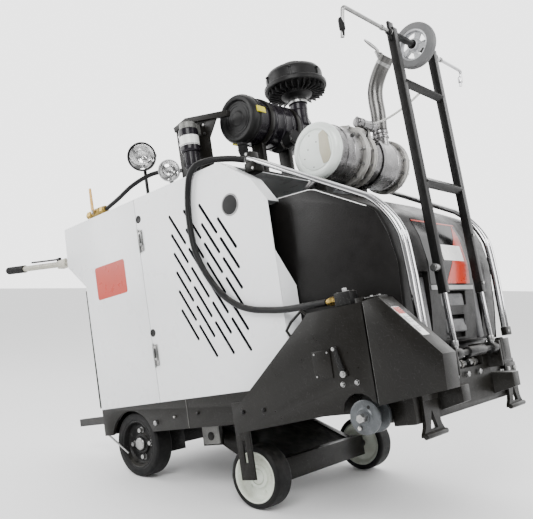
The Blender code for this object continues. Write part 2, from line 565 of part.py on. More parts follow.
# Precleaner bowl on the inlet stub.
bowl = [(0, 1.2685), (0.040, 1.2685), (0.040, 1.295), (0.060, 1.300), (BOWL_R - 0.008, 1.316), (BOWL_R, 1.330)]
bowl += [(BOWL_R, 1.352), (BOWL_R - 0.012, 1.356), (BOWL_R - 0.012, 1.392), (0.105, 1.412), (0.060, 1.420)]
bowl += [(0.055, 1.438), (0, 1.440)]
part("precleaner", lathe("v", (BOWL_U, BOWL_Y, 0), bowl, 32), BLACK, 0.0, 0.35)

# Bracket over the hood: base, upright plate, top bar and two straps for the air cleaner.
holder = [
    box((0.300, 0.660), (-0.235, 0.135), (HOOD + GAP, HOOD + 0.0085)),
    box((0.305, 0.480), (-0.216, -0.208), (HOOD + 0.004, 1.215)),
    sweep([(0.311, -0.222, 1.213), (0.38, -0.222, 1.228), (0.60, -0.222, 1.180)], 0.0145, 4, True),
]
for y in (-0.075, 0.090):
    strap = lathe("y", (CLEANER_U, 0, CLEANER_V), [(0.0885, y), (0.0935, y), (0.0935, y + 0.022), (0.0885, y + 0.022)], 28)
    holder += [strap, box((0.565, 0.620), (y, y + 0.022), (HOOD + 0.004, 1.084))]
part("filter_bracket", joined(*holder), BLACK, 0.1, 0.5)
fuel = [(0, 1.003), (0.010, 1.003), (0.012, 1.012), (0.031, 1.018), (0.033, 1.080), (0.038, 1.086)]
fuel += [(0.038, 1.170), (0.033, 1.180), (0.033, 1.196), (0, 1.196)]
fuel = joined(lathe("v", (0.418, -0.262, 0), fuel, 20), box((0.392, 0.444), (-0.262, -0.2165), (1.150, 1.192)))
part("fuel_filter", fuel, BLACK, 0.0, 0.35)


def lamp(name, place, radius, depth):
    """A round lamp facing forward and to the near side on a swivel stem."""
    shade = [(0, -depth), (radius * 0.55, -depth), (radius * 0.96, -depth * 0.45), (radius, -depth * 0.2), (radius, 0.004)]
    shade += [(radius - 0.006, 0.004), (radius - 0.008, -0.006), (0, -0.004)]
    body = lathe("v", (0, 0, 0), shade, 24)
    facing = Vector((0.63, -0.765, -0.13)).normalized()
    over = facing.cross(Vector((0, 0, 1))).normalized()
    body.transform(Matrix.Translation(place) @ Matrix((over, facing.cross(over) * -1, facing)).transposed().to_4x4())
    back = Vector(place) - facing * depth * 0.7
    stem = rod("v", (back.x, back.y, 0), 0.007, HOOD + 0.0065, place[2] - radius * 0.2, 10)
    foot = rod("v", (back.x, back.y, 0), 0.016, HOOD + GAP, HOOD + 0.008, 12)
    part(name, joined(body, stem, foot), DARK, 0.2, 0.35, (back.x, back.y, HOOD))


lamp("work_lamp_rear", (0.139, -0.270, 1.155), 0.060, 0.055)
lamp("work_lamp_front", (0.322, -0.300, 1.035), 0.043, 0.045)

# Water valve on the hood, its lever upright, and the short hose to the bracket.
body = [
    rod("u", (0, VALVE_Y, VALVE_V), 0.014, -0.185, -0.0555, 14),
    rod("u", (0, VALVE_Y, VALVE_V), 0.019, -0.175, -0.150, 6),
    rod("u", (0, VALVE_Y, VALVE_V), 0.019, -0.085, -0.062, 6),
    rod("y", (VALVE_U - 0.004, 0, VALVE_V), 0.019, VALVE_Y - 0.020, VALVE_Y + 0.014, 14),
    rod("v", (-0.165, VALVE_Y, 0), 0.012, HOOD + GAP, VALVE_V, 12),
]
part("valve_body", joined(*body), BRASS, 0.9, 0.35)
handle = [
    rod("y", (VALVE_U - 0.004, 0, VALVE_V), 0.009, VALVE_Y - 0.027, VALVE_Y - 0.0205, 12),
    box((VALVE_U - 0.014, VALVE_U + 0.006), (VALVE_Y - 0.0265, VALVE_Y - 0.0225), (VALVE_V - 0.008, VALVE_V + 0.105)),
]
part("valve_handle", joined(*handle), YELLOW, 0.0, 0.4, (VALVE_U - 0.004, VALVE_Y - 0.0205, VALVE_V))
short = [(-0.0525, VALVE_Y, VALVE_V), (0.03, -0.331, 1.000), (0.12, -0.318, 1.034), (0.20, -0.285, 1.058)]
short += [(0.255, -0.240, 1.062), (0.3015, -0.214, 1.052)]
hose("valve_hose", smooth(short, 22), 0.017, BLACK)

# Long water hose: over the near door's shoulder, round in a loop and forward to the guard.
long_path = [(0.7215, -0.310, 0.948), (0.675, -0.335, 0.963), (0.622, -0.375, 0.969), (0.572, -0.4015, 0.962)]
long_path += [(0.534, HOSE_Y, 0.938), (0.515, HOSE_Y, 0.892), (0.503, HOSE_Y, 0.832), (0.499, HOSE_Y, 0.754)]
long_path += [(0.507, HOSE_Y, 0.674), (0.533, HOSE_Y, 0.601), (0.572, HOSE_Y, 0.537), (0.618, HOSE_Y, 0.483)]
long_path += [(0.677, HOSE_Y, 0.441), (0.735, HOSE_Y, 0.418), (0.800, HOSE_Y, 0.404), (0.866, -0.406, 0.394)]
long_path += [(0.934, -0.415, 0.389), (1.000, -0.428, 0.386), (1.0595, -0.4335, 0.383)]
hose("water_hose", smooth(long_path, 56), 0.022, BLACK)

# Blade guard: folded boxes open below, the front half hinged to the rear at the top of the seam.
rear_face = [(0.645, 0.023), (0.645, 0.094), (0.734, 0.158), (1.007, 0.360), (1.198, 0.360), (1.198, 0.069)]
rear_room = [(0.60, -0.05), (0.649, 0.091), (0.736, 0.153), (1.009, 0.356), (1.25, 0.356), (1.25, -0.05)]
front_face = [(1.203, 0.069), (1.203, 0.361), (1.256, 0.364), (1.417, 0.186), (1.413, 0.093)]
front_room = [(1.15, -0.05), (1.15, 0.357), (1.2545, 0.3597), (1.4128, 0.1845), (1.408, -0.05)]
outside, inside = (-GUARD_OUT, -GUARD_IN), (-GUARD_OUT + SHEET, -GUARD_IN - SHEET)
mouth = [(SHAFT_U - 0.064, -0.06), (SHAFT_U - 0.064, 0.06), (SHAFT_U - 0.058, 0.084), (SHAFT_U - 0.043, 0.101)]
mouth += [(SHAFT_U - 0.020, 0.110), (SHAFT_U + 0.004, 0.108), (SHAFT_U + 0.025, 0.098), (SHAFT_U + 0.040, 0.082)]
mouth += [(SHAFT_U + 0.060, 0.075), (SHAFT_U + 0.060, -0.06)]
box_rear = cut(prism("y", rear_face, *outside), prism("y", rear_room, *inside), prism("y", mouth, -0.5, -0.35))
hook = [(1.000, -0.455, 0.350), (0.976, -0.455, 0.373), (0.930, -0.455, 0.345), (0.908, -0.455, 0.322), (0.925, -0.455, 0.296)]
fittings = [
    box((1.003, 1.068), (-0.4735, -0.468), (0.161, 0.245)),
    rod("y", (1.095, 0, 0.139), 0.007, -0.474, -0.460, 6),
    rod("y", (1.144, 0, 0.140), 0.007, -0.474, -0.460, 6),
    sweep(hook, 0.0048, 8),
    box((1.178, 1.2024), (-0.4655, -0.4560), (0.350, 0.3735)),
    box((1.178, 1.2024), (-0.4040, -0.3955), (0.350, 0.3735)),
    box((0.655, 0.80), (-0.397, -0.3893), (0.060, 0.120)),
    box((1.095, 1.12), (-0.4745, -0.468), (0.161, 0.175)),
]
part("guard_rear", joined(box_rear, *fittings), BLACK, 0.0, 0.45)
box_front = cut(prism("y", front_face, *outside), prism("y", front_room, *inside))
hinge = [
    rod("y", (1.2005, 0, 0.3680), 0.0045, -0.4555, -0.4045, 10),
    box((1.2005, 1.2500), (-0.4545, -0.4055), (0.3600, 0.3700)),
    rod("v", (1.235, -0.43, 0), 0.006, 0.365, 0.376, 6),
]
part("guard_front", joined(box_front, *hinge), BLACK, 0.0, 0.45, (1.2005, -0.43, 0.3680))
bar = [
    rod("y", (1.1075, 0, 0.168), 0.010, -0.4805, -0.4750, 12),
    prism("y", [(1.101, 0.168), (1.114, 0.168), (1.096, 0.250), (1.083, 0.250)], -0.4800, -0.4755),
    rod("y", (1.0895, 0, 0.243), 0.006, -0.4860, -0.4760, 8),
]
part("guard_latch", joined(*bar), DARK, 0.4, 0.45, (1.1075, -0.478, 0.168))
block = [
    box((1.100, 1.158), (-0.455, -0.413), (0.3605, 0.402)),
    rod("u", (0, -0.4335, 0.383), 0.0105, 1.0620, 1.105, 12),
    rod("u", (0, -0.4335, 0.383), 0.0145, 1.072, 1.090, 6),
    rod("v", (1.128, -0.434, 0), 0.008, 0.400, 0.414, 6),
]
part("guard_valve", joined(*block), BRASS, 0.6, 0.4)
slotted = cut(
    box((0.572, 0.636), (-0.3975, -HALF - GAP), (-0.143, 0.120)),
    box((0.598, 0.612), (-0.41, -0.38), (-0.085, -0.010)),
)
part("guard_bracket", joined(slotted, rod("y", (0.604, 0, 0.085), 0.009, -0.404, -0.396, 6)), BLACK, 0.1, 0.5)

# Blade shaft across the nose, its near-side flange pair and arbor bolt.
shaft = [(0, -0.3985), (0.022, -0.3985), (0.022, -0.06), (0.036, -0.06), (0.036, 0.06), (0.022, 0.06)]
shaft += [(0.022, 0.400), (0.050, 0.400), (0.050, 0.412), (0.024, 0.412), (0.024, 0.452), (0.050, 0.452)]
shaft += [(0.050, 0.462), (0.013, 0.462), (0.013, 0.480), (0, 0.480)]
shaft_place = (SHAFT_U, 0, SHAFT_V)
part("blade_shaft", lathe("y", shaft_place, shaft, 24), STEEL, 0.9, 0.35, shaft_place)
flange = [(0, -0.399), (0.050, -0.399), (0.050, -0.411), (0.024, -0.411), (0.024, -0.452), (0.046, -0.452)]
flange += [(0.050, -0.456), (0.050, -0.466), (0.022, -0.470), (0, -0.470)]
bolt = rod("y", shaft_place, 0.014, -0.492, -0.468, 6)
pin = rod("y", (SHAFT_U - 0.018, 0, SHAFT_V - 0.028), 0.006, -0.474, -0.464, 8)
part("blade_flange", joined(lathe("y", shaft_place, flange, 28), bolt, pin), STEEL, 0.8, 0.35, shaft_place)


def lean(v):
    """How far forward the pointer's rails stand at this height."""
    return POINTER_U - 0.027 * (v - POINTER_V)


# Cutting pointer: a pivot with two chrome rods, and a ladder of square tubes sliding on them.
axle = [(0.0097, 0.180), (0.0097, 0.157), (0.018, 0.157), (0.018, 0.118), (0.0097, 0.118), (0.0097, 0.06), (0.017, 0.06)]
axle = [(0, -0.180)] + [(r, -y) for r, y in axle] + axle[::-1] + [(0, 0.180)]
pivot = [lathe("y", (POINTER_U, 0, POINTER_V), axle, 16)]
for _, side in SIDES:
    y = side * (LADDER_HALF + 0.0003)
    pivot.append(sweep([(lean(0.1697), y, 0.1697), (lean(0.80), y, 0.80)], 0.0088, 12))
pointer_place = (POINTER_U, 0, POINTER_V)
part("pointer_pivot", joined(*pivot), CHROME, 1.0, 0.15, pointer_place)
ladder = []
for _, side in SIDES:
    y = side * LADDER_HALF
    tube = square_bar([(lean(0.365), y, 0.365), (lean(1.2315), y, 1.2315)], 0.026)
    ladder.append(cut(tube, sweep([(lean(0.30), y, 0.30), (lean(1.19), y, 1.19)], 0.0098, 12)))
for v in (0.723, 1.056):
    end = LADDER_HALF - 0.0115
    ladder.append(square_bar([(lean(v), -end, v), (lean(v), end, v)], 0.0255))
tip = rod("y", (lean(1.218), 0, 1.218), 0.0105, -0.165, 0.165, 14)
flag = box((lean(1.2) - 0.004, lean(1.2) + 0.004), (-0.160, -0.130), (1.190, 1.252))
stub = box((lean(1.2) - 0.004, lean(1.2) + 0.004), (0.130, 0.152), (1.190, 1.235))
knob = rod("y", (lean(0.445), 0, 0.445), 0.0117, -0.175, -LADDER_HALF - 0.0118, 10)
frame_up = joined(*ladder, tip, flag, stub, knob)
frame_up = cut(frame_up, rod("y", (lean(1.218), 0, 1.218), 0.0073, -0.2, 0.2, 14))
part("pointer_ladder", frame_up, BLACK, 0.1, 0.45, (POINTER_U, 0, 0.5))
tread = [(0.0112, -0.019), (0.052, -0.019), (0.052, -0.013), (0.060, -0.016), (0.073, -0.014), (0.077, -0.008)]
tread += [(0.077, 0.008), (0.073, 0.014), (0.060, 0.016), (0.052, 0.013), (0.052, 0.019), (0.0112, 0.019)]
tip_place = (lean(1.218), 0.012, 1.218)
part("pointer_wheel", lathe("y", tip_place, tread, 28), DARK, 0.0, 0.6, tip_place)
for name, side, reach, fall in (("R", -1, 0.418, 0.088), ("L", 1, 0.372, 0.055)):
    top = lean(1.218)
    path = [(top, side * 0.020, 1.218), (top, side * (reach - 0.012), 1.218), (top - 0.001, side * (reach - 0.003), 1.213)]
    path += [(top - 0.003, side * reach, 1.204), (top - 0.2 * fall, side * reach, 1.218 - fall)]
    shape = joined(sweep(path, 0.0062, 8), rod("v", (top - 0.15 * fall, side * reach, 0), 0.0095, 1.218 - 0.75 * fall, 1.218 - 0.35 * fall, 10))
    part("pointer_rod_" + name, shape, DARK, 0.4, 0.4, (top, side * 0.2, 1.218))

# Rope holding the pointer up, from the canister's eye to the upper rung.
slack = [(1.0345, 0.075, 1.040), (1.08, 0.068, 1.036), (1.14, 0.056, 1.040), (1.20, 0.044, 1.051), (1.2565, 0.032, 1.068)]
hose("pointer_rope", smooth(slack, 20), 0.008, WHITE)
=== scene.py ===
"""Looks of a walk-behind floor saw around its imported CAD: one section per piece or group."""

import math

import bmesh
import bpy
from mathutils import Matrix, Vector


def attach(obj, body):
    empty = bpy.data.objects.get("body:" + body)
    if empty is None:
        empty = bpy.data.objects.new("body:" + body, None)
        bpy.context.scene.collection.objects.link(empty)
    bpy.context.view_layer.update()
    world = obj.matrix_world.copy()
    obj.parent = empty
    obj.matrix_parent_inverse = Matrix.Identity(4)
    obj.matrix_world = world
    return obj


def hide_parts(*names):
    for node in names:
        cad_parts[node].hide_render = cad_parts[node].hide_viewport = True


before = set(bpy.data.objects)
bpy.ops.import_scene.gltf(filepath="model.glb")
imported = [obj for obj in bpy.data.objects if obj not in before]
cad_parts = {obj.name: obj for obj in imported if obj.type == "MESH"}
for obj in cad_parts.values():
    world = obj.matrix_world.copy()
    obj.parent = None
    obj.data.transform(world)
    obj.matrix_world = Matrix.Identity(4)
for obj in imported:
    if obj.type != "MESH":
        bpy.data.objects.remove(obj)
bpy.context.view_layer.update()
scene = bpy.context.scene

# Camera: eye height of a person crouching off the machine's front right corner.
AZIMUTH, ELEVATION, ROLL = math.radians(39.9196), math.radians(2.1887), math.radians(0.2548)
back = Vector((
    math.sin(AZIMUTH) * math.cos(ELEVATION),
    -math.cos(AZIMUTH) * math.cos(ELEVATION),
    math.sin(ELEVATION),
))
right = Vector((math.cos(AZIMUTH), math.sin(AZIMUTH), 0.0))
up = back.cross(right)
tilted_right = right * math.cos(ROLL) + up * math.sin(ROLL)
tilted_up = up * math.cos(ROLL) - right * math.sin(ROLL)
eye = bpy.data.objects.new("eye", bpy.data.cameras.new("eye"))
scene.collection.objects.link(eye)
eye.matrix_world = Matrix.Translation((1.9925, -2.0723, 0.7755)) @ Matrix(
    (tilted_right, tilted_up, back)
).transposed().to_4x4()
eye.data.sensor_width = 36.0
eye.data.lens = 46.01
eye.data.shift_x, eye.data.shift_y = -0.0166, 0.0903
eye.data.clip_start, eye.data.clip_end = 0.05, 200.0
scene.camera = eye

# Studio: a white floor that runs out of sight, a backdrop that is bright behind the machine and dim
# on the viewer's side, and three soft panels of light.
floor_mesh = bpy.data.meshes.new("floor")
floor_mesh.from_pydata([(-60, -60, 0), (60, -60, 0), (60, 60, 0), (-60, 60, 0)], [], [(0, 1, 2, 3)])
floor = bpy.data.objects.new("floor", floor_mesh)
scene.collection.objects.link(floor)
floor_paint = bpy.data.materials.new("floor_paint")
floor_paint.use_nodes = True
floor_shader = floor_paint.node_tree.nodes["Principled BSDF"]
floor_shader.inputs["Base Color"].default_value = (0.93, 0.93, 0.93, 1.0)
floor_shader.inputs["Roughness"].default_value = 0.9
floor_mesh.materials.append(floor_paint)
sky = bpy.data.worlds.new("sky")
sky.use_nodes = True
backdrop = sky.node_tree.nodes["Background"]
backdrop.inputs["Color"].default_value = (1.0, 1.0, 1.0, 1.0)
sight = sky.node_tree.nodes.new("ShaderNodeTexCoord")
along = sky.node_tree.nodes.new("ShaderNodeVectorMath")
along.operation = "DOT_PRODUCT"
along.inputs[1].default_value = (-math.sin(AZIMUTH), math.cos(AZIMUTH), 0.0)
fall = sky.node_tree.nodes.new("ShaderNodeMapRange")
fall.inputs["From Min"].default_value, fall.inputs["From Max"].default_value = -0.2, 0.6
fall.inputs["To Min"].default_value, fall.inputs["To Max"].default_value = 0.40, 3.2
sky.node_tree.links.new(sight.outputs["Generated"], along.inputs[0])
sky.node_tree.links.new(along.outputs["Value"], fall.inputs["Value"])
sky.node_tree.links.new(fall.outputs["Result"], backdrop.inputs["Strength"])
scene.world = sky
for panel, place, aim, power, side in (
    ("key_panel", (2.2, -3.6, 3.6), (0.0, 0.0, 0.6), 210.0, 2.4),
    ("fill_panel", (-3.2, -3.0, 2.2), (0.0, 0.0, 0.7), 110.0, 2.6),
    ("front_panel", (4.0, 0.8, 2.6), (0.6, 0.0, 0.7), 110.0, 2.2),
):
    lamp_data = bpy.data.lights.new(panel, "AREA")
    lamp_data.energy, lamp_data.size = power, side
    lamp = bpy.data.objects.new(panel, lamp_data)
    lamp.location = place
    lamp.rotation_euler = (Vector(place) - Vector(aim)).to_track_quat("Z", "Y").to_euler()
    scene.collection.objects.link(lamp)

# The machine's own frame, pitched nose-up about the rear axle: u runs forward, y left and v up.
PITCH = math.radians(11.548)
saw = Matrix.Translation((-0.146, 0.006, 0.127)) @ Matrix.Rotation(-PITCH, 4, "Y")


def surface(name, colour, other, rough, metal=0.0, coat=0.0, grain=(900.0, 0.05), patches=7.0,
            amount=0.5, scratch=0.0, dust=0.0):
    """A material whose colour drifts to the other, with grain, hairline scratches and settled dust."""
    found = bpy.data.materials.new(name)
    found.use_nodes = True
    tree = found.node_tree
    nodes, link = tree.nodes, tree.links.new
    shader = nodes["Principled BSDF"]
    place = nodes.new("ShaderNodeTexCoord")

    def noise(scale, detail, roughness=0.55):
        made = nodes.new("ShaderNodeTexNoise")
        made.inputs["Scale"].default_value = scale
        made.inputs["Detail"].default_value = detail
        made.inputs["Roughness"].default_value = roughness
        link(place.outputs["Object"], made.inputs["Vector"])
        return made

    def spread(source, low, high, bottom=0.0, top=1.0):
        made = nodes.new("ShaderNodeMapRange")
        made.inputs["From Min"].default_value = low
        made.inputs["From Max"].default_value = high
        made.inputs["To Min"].default_value = bottom
        made.inputs["To Max"].default_value = top
        link(source, made.inputs["Value"])
        return made.outputs["Result"]

    def blended(factor, first, second):
        made = nodes.new("ShaderNodeMix")
        made.data_type = "RGBA"
        for value, socket in ((factor, made.inputs[0]), (first, made.inputs[6]), (second, made.inputs[7])):
            if hasattr(value, "links"):
                link(value, socket)
            elif isinstance(value, tuple):
                socket.default_value = (*value, 1.0)
            else:
                socket.default_value = value
        return made.outputs[2]

    if max(colour) < 0.05 and not metal:
        colour, other = tuple(0.4 * c for c in colour), tuple(0.4 * c for c in other)
        coat, dust = 0.3 * coat, 0.6 * dust
        shader.inputs["Specular IOR Level"].default_value = 0.16
    cloud = noise(patches, 5.0)
    fine = noise(grain[0], 2.0)
    tone = blended(spread(cloud.outputs["Fac"], 0.38, 0.68, 0.0, amount), colour, other)
    roughness = spread(noise(patches * 4.3, 4.0).outputs["Fac"], 0.3, 0.7, *rough)
    height = fine.outputs["Fac"]
    if scratch:
        lines = nodes.new("ShaderNodeTexWave")
        lines.wave_type, lines.bands_direction = "BANDS", "DIAGONAL"
        lines.inputs["Scale"].default_value = 34.0
        lines.inputs["Distortion"].default_value = 26.0
        lines.inputs["Detail"].default_value = 4.0
        lines.inputs["Detail Scale"].default_value = 0.8
        link(place.outputs["Object"], lines.inputs["Vector"])
        mark = spread(lines.outputs["Fac"], 0.975, 1.0, 0.0, scratch)
        tone = blended(mark, tone, tuple(min(1.0, c * 1.6 + 0.10) for c in colour))
    if dust:
        facing = nodes.new("ShaderNodeNewGeometry")
        split = nodes.new("ShaderNodeSeparateXYZ")
        link(facing.outputs["Normal"], split.inputs["Vector"])
        upward = spread(split.outputs["Z"], 0.35, 1.0, 0.0, dust)
        settle = nodes.new("ShaderNodeMath")
        settle.operation = "MULTIPLY"
        link(upward, settle.inputs[0])
        link(spread(noise(38.0, 6.0).outputs["Fac"], 0.35, 0.75), settle.inputs[1])
        tone = blended(settle.outputs[0], tone, (0.44, 0.42, 0.38))
    bump = nodes.new("ShaderNodeBump")
    bump.inputs["Strength"].default_value = grain[1]
    bump.inputs["Distance"].default_value = 0.002
    link(height, bump.inputs["Height"])
    link(bump.outputs["Normal"], shader.inputs["Normal"])
    link(tone, shader.inputs["Base Color"])
    link(roughness, shader.inputs["Roughness"])
    shader.inputs["Metallic"].default_value = metal
    shader.inputs["Coat Weight"].default_value = coat
    shader.inputs["Coat Roughness"].default_value = 0.12
    return found


def flowing(points, count):
    """Evenly many points on a smooth curve through these."""
    points = [Vector(p) for p in points]
    points = [2 * points[0] - points[1]] + points + [2 * points[-1] - points[-2]]
    found = []
    for i in range(count):
        place = i / (count - 1) * (len(points) - 3)
        k = min(int(place), len(points) - 4)
        t = place - k
        a, b, c, d = points[k : k + 4]
        bend = (2 * a - 5 * b + 4 * c - d) * t**2 + (3 * b - a - 3 * c + d) * t**3
        found.append(0.5 * (2 * b + (c - a) * t + bend))
    return found


def line(name, path, diameter, material, sides=5):
    """A round hose or rope along the path."""
    curve = bpy.data.curves.new(name, "CURVE")
    curve.dimensions = "3D"
    curve.bevel_depth = diameter / 2
    curve.bevel_resolution = sides
    curve.use_fill_caps = True
    spline = curve.splines.new("POLY")
    spline.points.add(len(path) - 1)
    for point, place in zip(spline.points, path):
        point.co = (*place, 1.0)
    spline.use_smooth = True
    curve.materials.append(material)
    made = bpy.data.objects.new(name, curve)
    scene.collection.objects.link(made)
    return made


# Water hoses and rope: black rubber hoses pushed on brass tails, and a white rope tied between the
# exhaust canister's eye and the ladder's upper rung.
hose_rubber = surface("hose_rubber", (0.016, 0.016, 0.017), (0.032, 0.031, 0.031), (0.34, 0.5),
                      grain=(1400.0, 0.06), patches=16.0, dust=0.25)
rope_fibre = surface("rope_fibre", (0.74, 0.74, 0.71), (0.55, 0.54, 0.50), (0.75, 0.9),
                     grain=(520.0, 0.9), patches=60.0)
HOSE_Y, VALVE_Y, VALVE_V = -0.4025, -0.33, 0.982
long_line = [(0.7215, -0.310, 0.948), (0.675, -0.335, 0.963), (0.622, -0.375, 0.969), (0.572, -0.4015, 0.962)]
long_line += [(0.534, HOSE_Y, 0.938), (0.515, HOSE_Y, 0.892), (0.503, HOSE_Y, 0.832), (0.499, HOSE_Y, 0.754)]
long_line += [(0.507, HOSE_Y, 0.674), (0.533, HOSE_Y, 0.601), (0.572, HOSE_Y, 0.537), (0.618, HOSE_Y, 0.483)]
long_line += [(0.677, HOSE_Y, 0.441), (0.735, HOSE_Y, 0.418), (0.800, HOSE_Y, 0.404), (0.866, -0.406, 0.394)]
long_line += [(0.934, -0.415, 0.389), (1.000, -0.428, 0.386), (1.0595, -0.4335, 0.383)]
short_line = [(-0.0525, VALVE_Y, VALVE_V), (0.03, -0.331, 1.000), (0.12, -0.318, 1.034),
              (0.20, -0.285, 1.058)]
short_line += [(0.255, -0.240, 1.062), (0.3015, -0.214, 1.052)]
rope_line = [(1.0345, 0.075, 1.040), (1.08, 0.068, 1.036), (1.14, 0.056, 1.040), (1.20, 0.044, 1.051)]
rope_line += [(1.2565, 0.032, 1.068)]
for name, node, route, diameter, material, stiffness, lay in (
    ("feed_hose", "water_hose", long_line, 0.022, hose_rubber, "medium", "hanging"),
    ("hood_hose", "valve_hose", short_line, 0.017, hose_rubber, "medium", "loose"),
    ("tie_rope", "pointer_rope", rope_line, 0.008, rope_fibre, "limp", "hanging"),
):
    path = [saw @ p for p in flowing(route, 140)]
    length = sum((b - a).length for a, b in zip(path, path[1:]))
    made = line(name, path, diameter, material)
    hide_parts(node)
    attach(made, "chassis")
    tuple(path[0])

# Shape helpers: outlines, lathe profiles, bars and copies, each made a mesh in the machine's frame.
def at(axis, a, b, along):
    if axis == "u":
        return (along, a, b)
    return (a, along, b) if axis == "y" else (a, b, along)


def shaped(points, faces, soft=0.0, steps=2, corner=20.0):
    """A closed mesh, its edges sharper than the corner angle rounded over."""
    made = bmesh.new()
    corners = [made.verts.new(p) for p in points]
    for face in faces:
        made.faces.new([corners[i] for i in face])
    bmesh.ops.recalc_face_normals(made, faces=made.faces)
    if soft:
        keen = [e for e in made.edges if e.is_manifold and e.calc_face_angle(0.0) > math.radians(corner)]
        bmesh.ops.bevel(made, geom=keen, offset=soft, segments=steps, profile=0.5, affect="EDGES",
                        clamp_overlap=True)
    mesh = bpy.data.meshes.new("shape")
    made.to_mesh(mesh)
    made.free()
    return mesh


def slab(axis, outline, start, end, soft=0.001, steps=2, corner=20.0):
    n = len(outline)
    points = [at(axis, a, b, start) for a, b in outline] + [at(axis, a, b, end) for a, b in outline]
    faces = [tuple(range(n)), tuple(range(n, 2 * n))]
    faces += [(i, (i + 1) % n, n + (i + 1) % n, n + i) for i in range(n)]
    return shaped(points, faces, soft, steps, corner)


def block(u, y, v, soft=0.001, steps=2):
    return slab("v", [(u[0], y[0]), (u[1], y[0]), (u[1], y[1]), (u[0], y[1])], *v, soft, steps)


def eased(outline, radius, steps=5):
    """The outline with every corner turned into an arc of about this radius."""
    found = []
    for i, here in enumerate(outline):
        here = Vector(here)
        before, after = Vector(outline[i - 1]) - here, Vector(outline[(i + 1) % len(outline)]) - here
        reach = min(radius, before.length * 0.45, after.length * 0.45)
        first, last = here + before.normalized() * reach, here + after.normalized() * reach
        for k in range(steps + 1):
            t = k / steps
            spot = first * (1 - t) ** 2 + here * 2 * t * (1 - t) + last * t**2
            found.append((spot.x, spot.y))
    return found


def turned(axis, centre, profile, steps=64, start=0.0):
    """The (radius, along) outline turned round an axis through the centre, poles closed."""
    rings, points = [], []
    for radius, along in profile:
        ring = []
        for step in range(1 if radius == 0 else steps):
            angle = 2 * math.pi * step / steps + start
            ring.append(len(points))
            points.append(Vector(centre) + Vector(at(axis, radius * math.cos(angle),
                                                     radius * math.sin(angle), along)))
        rings.append(ring)
    pairs = list(zip(rings, rings[1:]))
    if profile[0][0] != 0 or profile[-1][0] != 0:
        pairs.append((rings[-1], rings[0]))
    faces = []
    for first, second in pairs:
        for step in range(steps):
            after = (step + 1) % steps
            face = [first[step % len(first)], first[after % len(first)]]
            face += [second[after % len(second)], second[step % len(second)]]
            face = list(dict.fromkeys(face))
            if len(face) > 2:
                faces.append(face)
    return shaped(points, faces)


def rounded(profile, radius, steps=3):
    """A lathe outline with its inner corners eased; the two ends stay where they are."""
    found = [profile[0]]
    for before, here, after in zip(profile, profile[1:], profile[2:]):
        here = Vector(here)
        a, b = Vector(before) - here, Vector(after) - here
        reach = min(radius, a.length * 0.45, b.length * 0.45)
        first, last = here + a.normalized() * reach, here + b.normalized() * reach
        for k in range(steps + 1):
            t = k / steps
            spot = first * (1 - t) ** 2 + here * 2 * t * (1 - t) + last * t**2
            found.append((max(spot.x, 0.0), spot.y))
    return found + [profile[-1]]


def peg(axis, centre, radius, start, end, soft=0.0006, steps=24):
    if soft:
        outline = rounded([(0, start), (radius, start), (radius, end), (0, end)], soft, 2)
    else:
        outline = [(0, start), (radius, start), (radius, end), (0, end)]
    return turned(axis, centre, outline, steps)


def collar(axis, centre, inner, outer, start, end, soft, steps):
    """A band from the inner to the outer radius, its outer corners rounded."""
    outline = [(inner, start), (outer, start), (outer, end), (inner, end)]
    return turned(axis, centre, rounded(outline, soft, 2), steps)


def bolt(axis, centre, radius, start, end, angle=0.0):
    """A hexagon head with its chamfered crown, standing from start to end."""
    rise = end - start
    outline = [(0, start), (radius, start), (radius, start + rise * 0.78), (radius * 0.86, end), (0, end)]
    return turned(axis, centre, outline, 6, angle)


def swept(path, radius, sides=18, flat=False):
    """A round or square bar along a path, its ends closed."""
    path = [Vector(p) for p in path]
    across, points = None, []
    for i, point in enumerate(path):
        way = path[min(i + 1, len(path) - 1)] - path[max(i - 1, 0)]
        way.normalize()
        if across is None:
            across = way.orthogonal() if abs(way.y) > 0.9 else way.cross(Vector((0, 1, 0)))
        across = (across - way * across.dot(way)).normalized()
        other = way.cross(across)
        for step in range(sides):
            angle = 2 * math.pi * (step + (0.5 if flat else 0.0)) / sides
            points.append(point + radius * (math.cos(angle) * across + math.sin(angle) * other))
    faces = [tuple(range(sides)), tuple(range(len(points) - sides, len(points)))]
    for ring in range(len(path) - 1):
        for step in range(sides):
            a, b = ring * sides + step, ring * sides + (step + 1) % sides
            faces.append((a, b, b + sides, a + sides))
    return shaped(points, faces)


def bends(path, radius, steps=7):
    """A straight-sided path with each bend turned into an arc."""
    path = [Vector(p) for p in path]
    found = [path[0]]
    for before, here, after in zip(path, path[1:], path[2:]):
        a, b = before - here, after - here
        reach = min(radius, a.length * 0.45, b.length * 0.45)
        first, last = here + a.normalized() * reach, here + b.normalized() * reach
        for k in range(steps + 1):
            middle = here * 2 * k / steps * (1 - k / steps)
            found.append(first * (1 - k / steps) ** 2 + middle + last * (k / steps) ** 2)
    return found + [path[-1]]


def combined(base, others, operation):
    held = bpy.data.objects.new("held", base)
    scene.collection.objects.link(held)
    made = [held]
    for mesh in others:
        other = bpy.data.objects.new("other", mesh)
        scene.collection.objects.link(other)
        made.append(other)
        step = held.modifiers.new("step", "BOOLEAN")
        step.operation, step.solver, step.object = operation, "EXACT", other
    result = bpy.data.meshes.new_from_object(held.evaluated_get(bpy.context.evaluated_depsgraph_get()))
    for thing in made:
        bpy.data.objects.remove(thing, do_unlink=True)
    return result


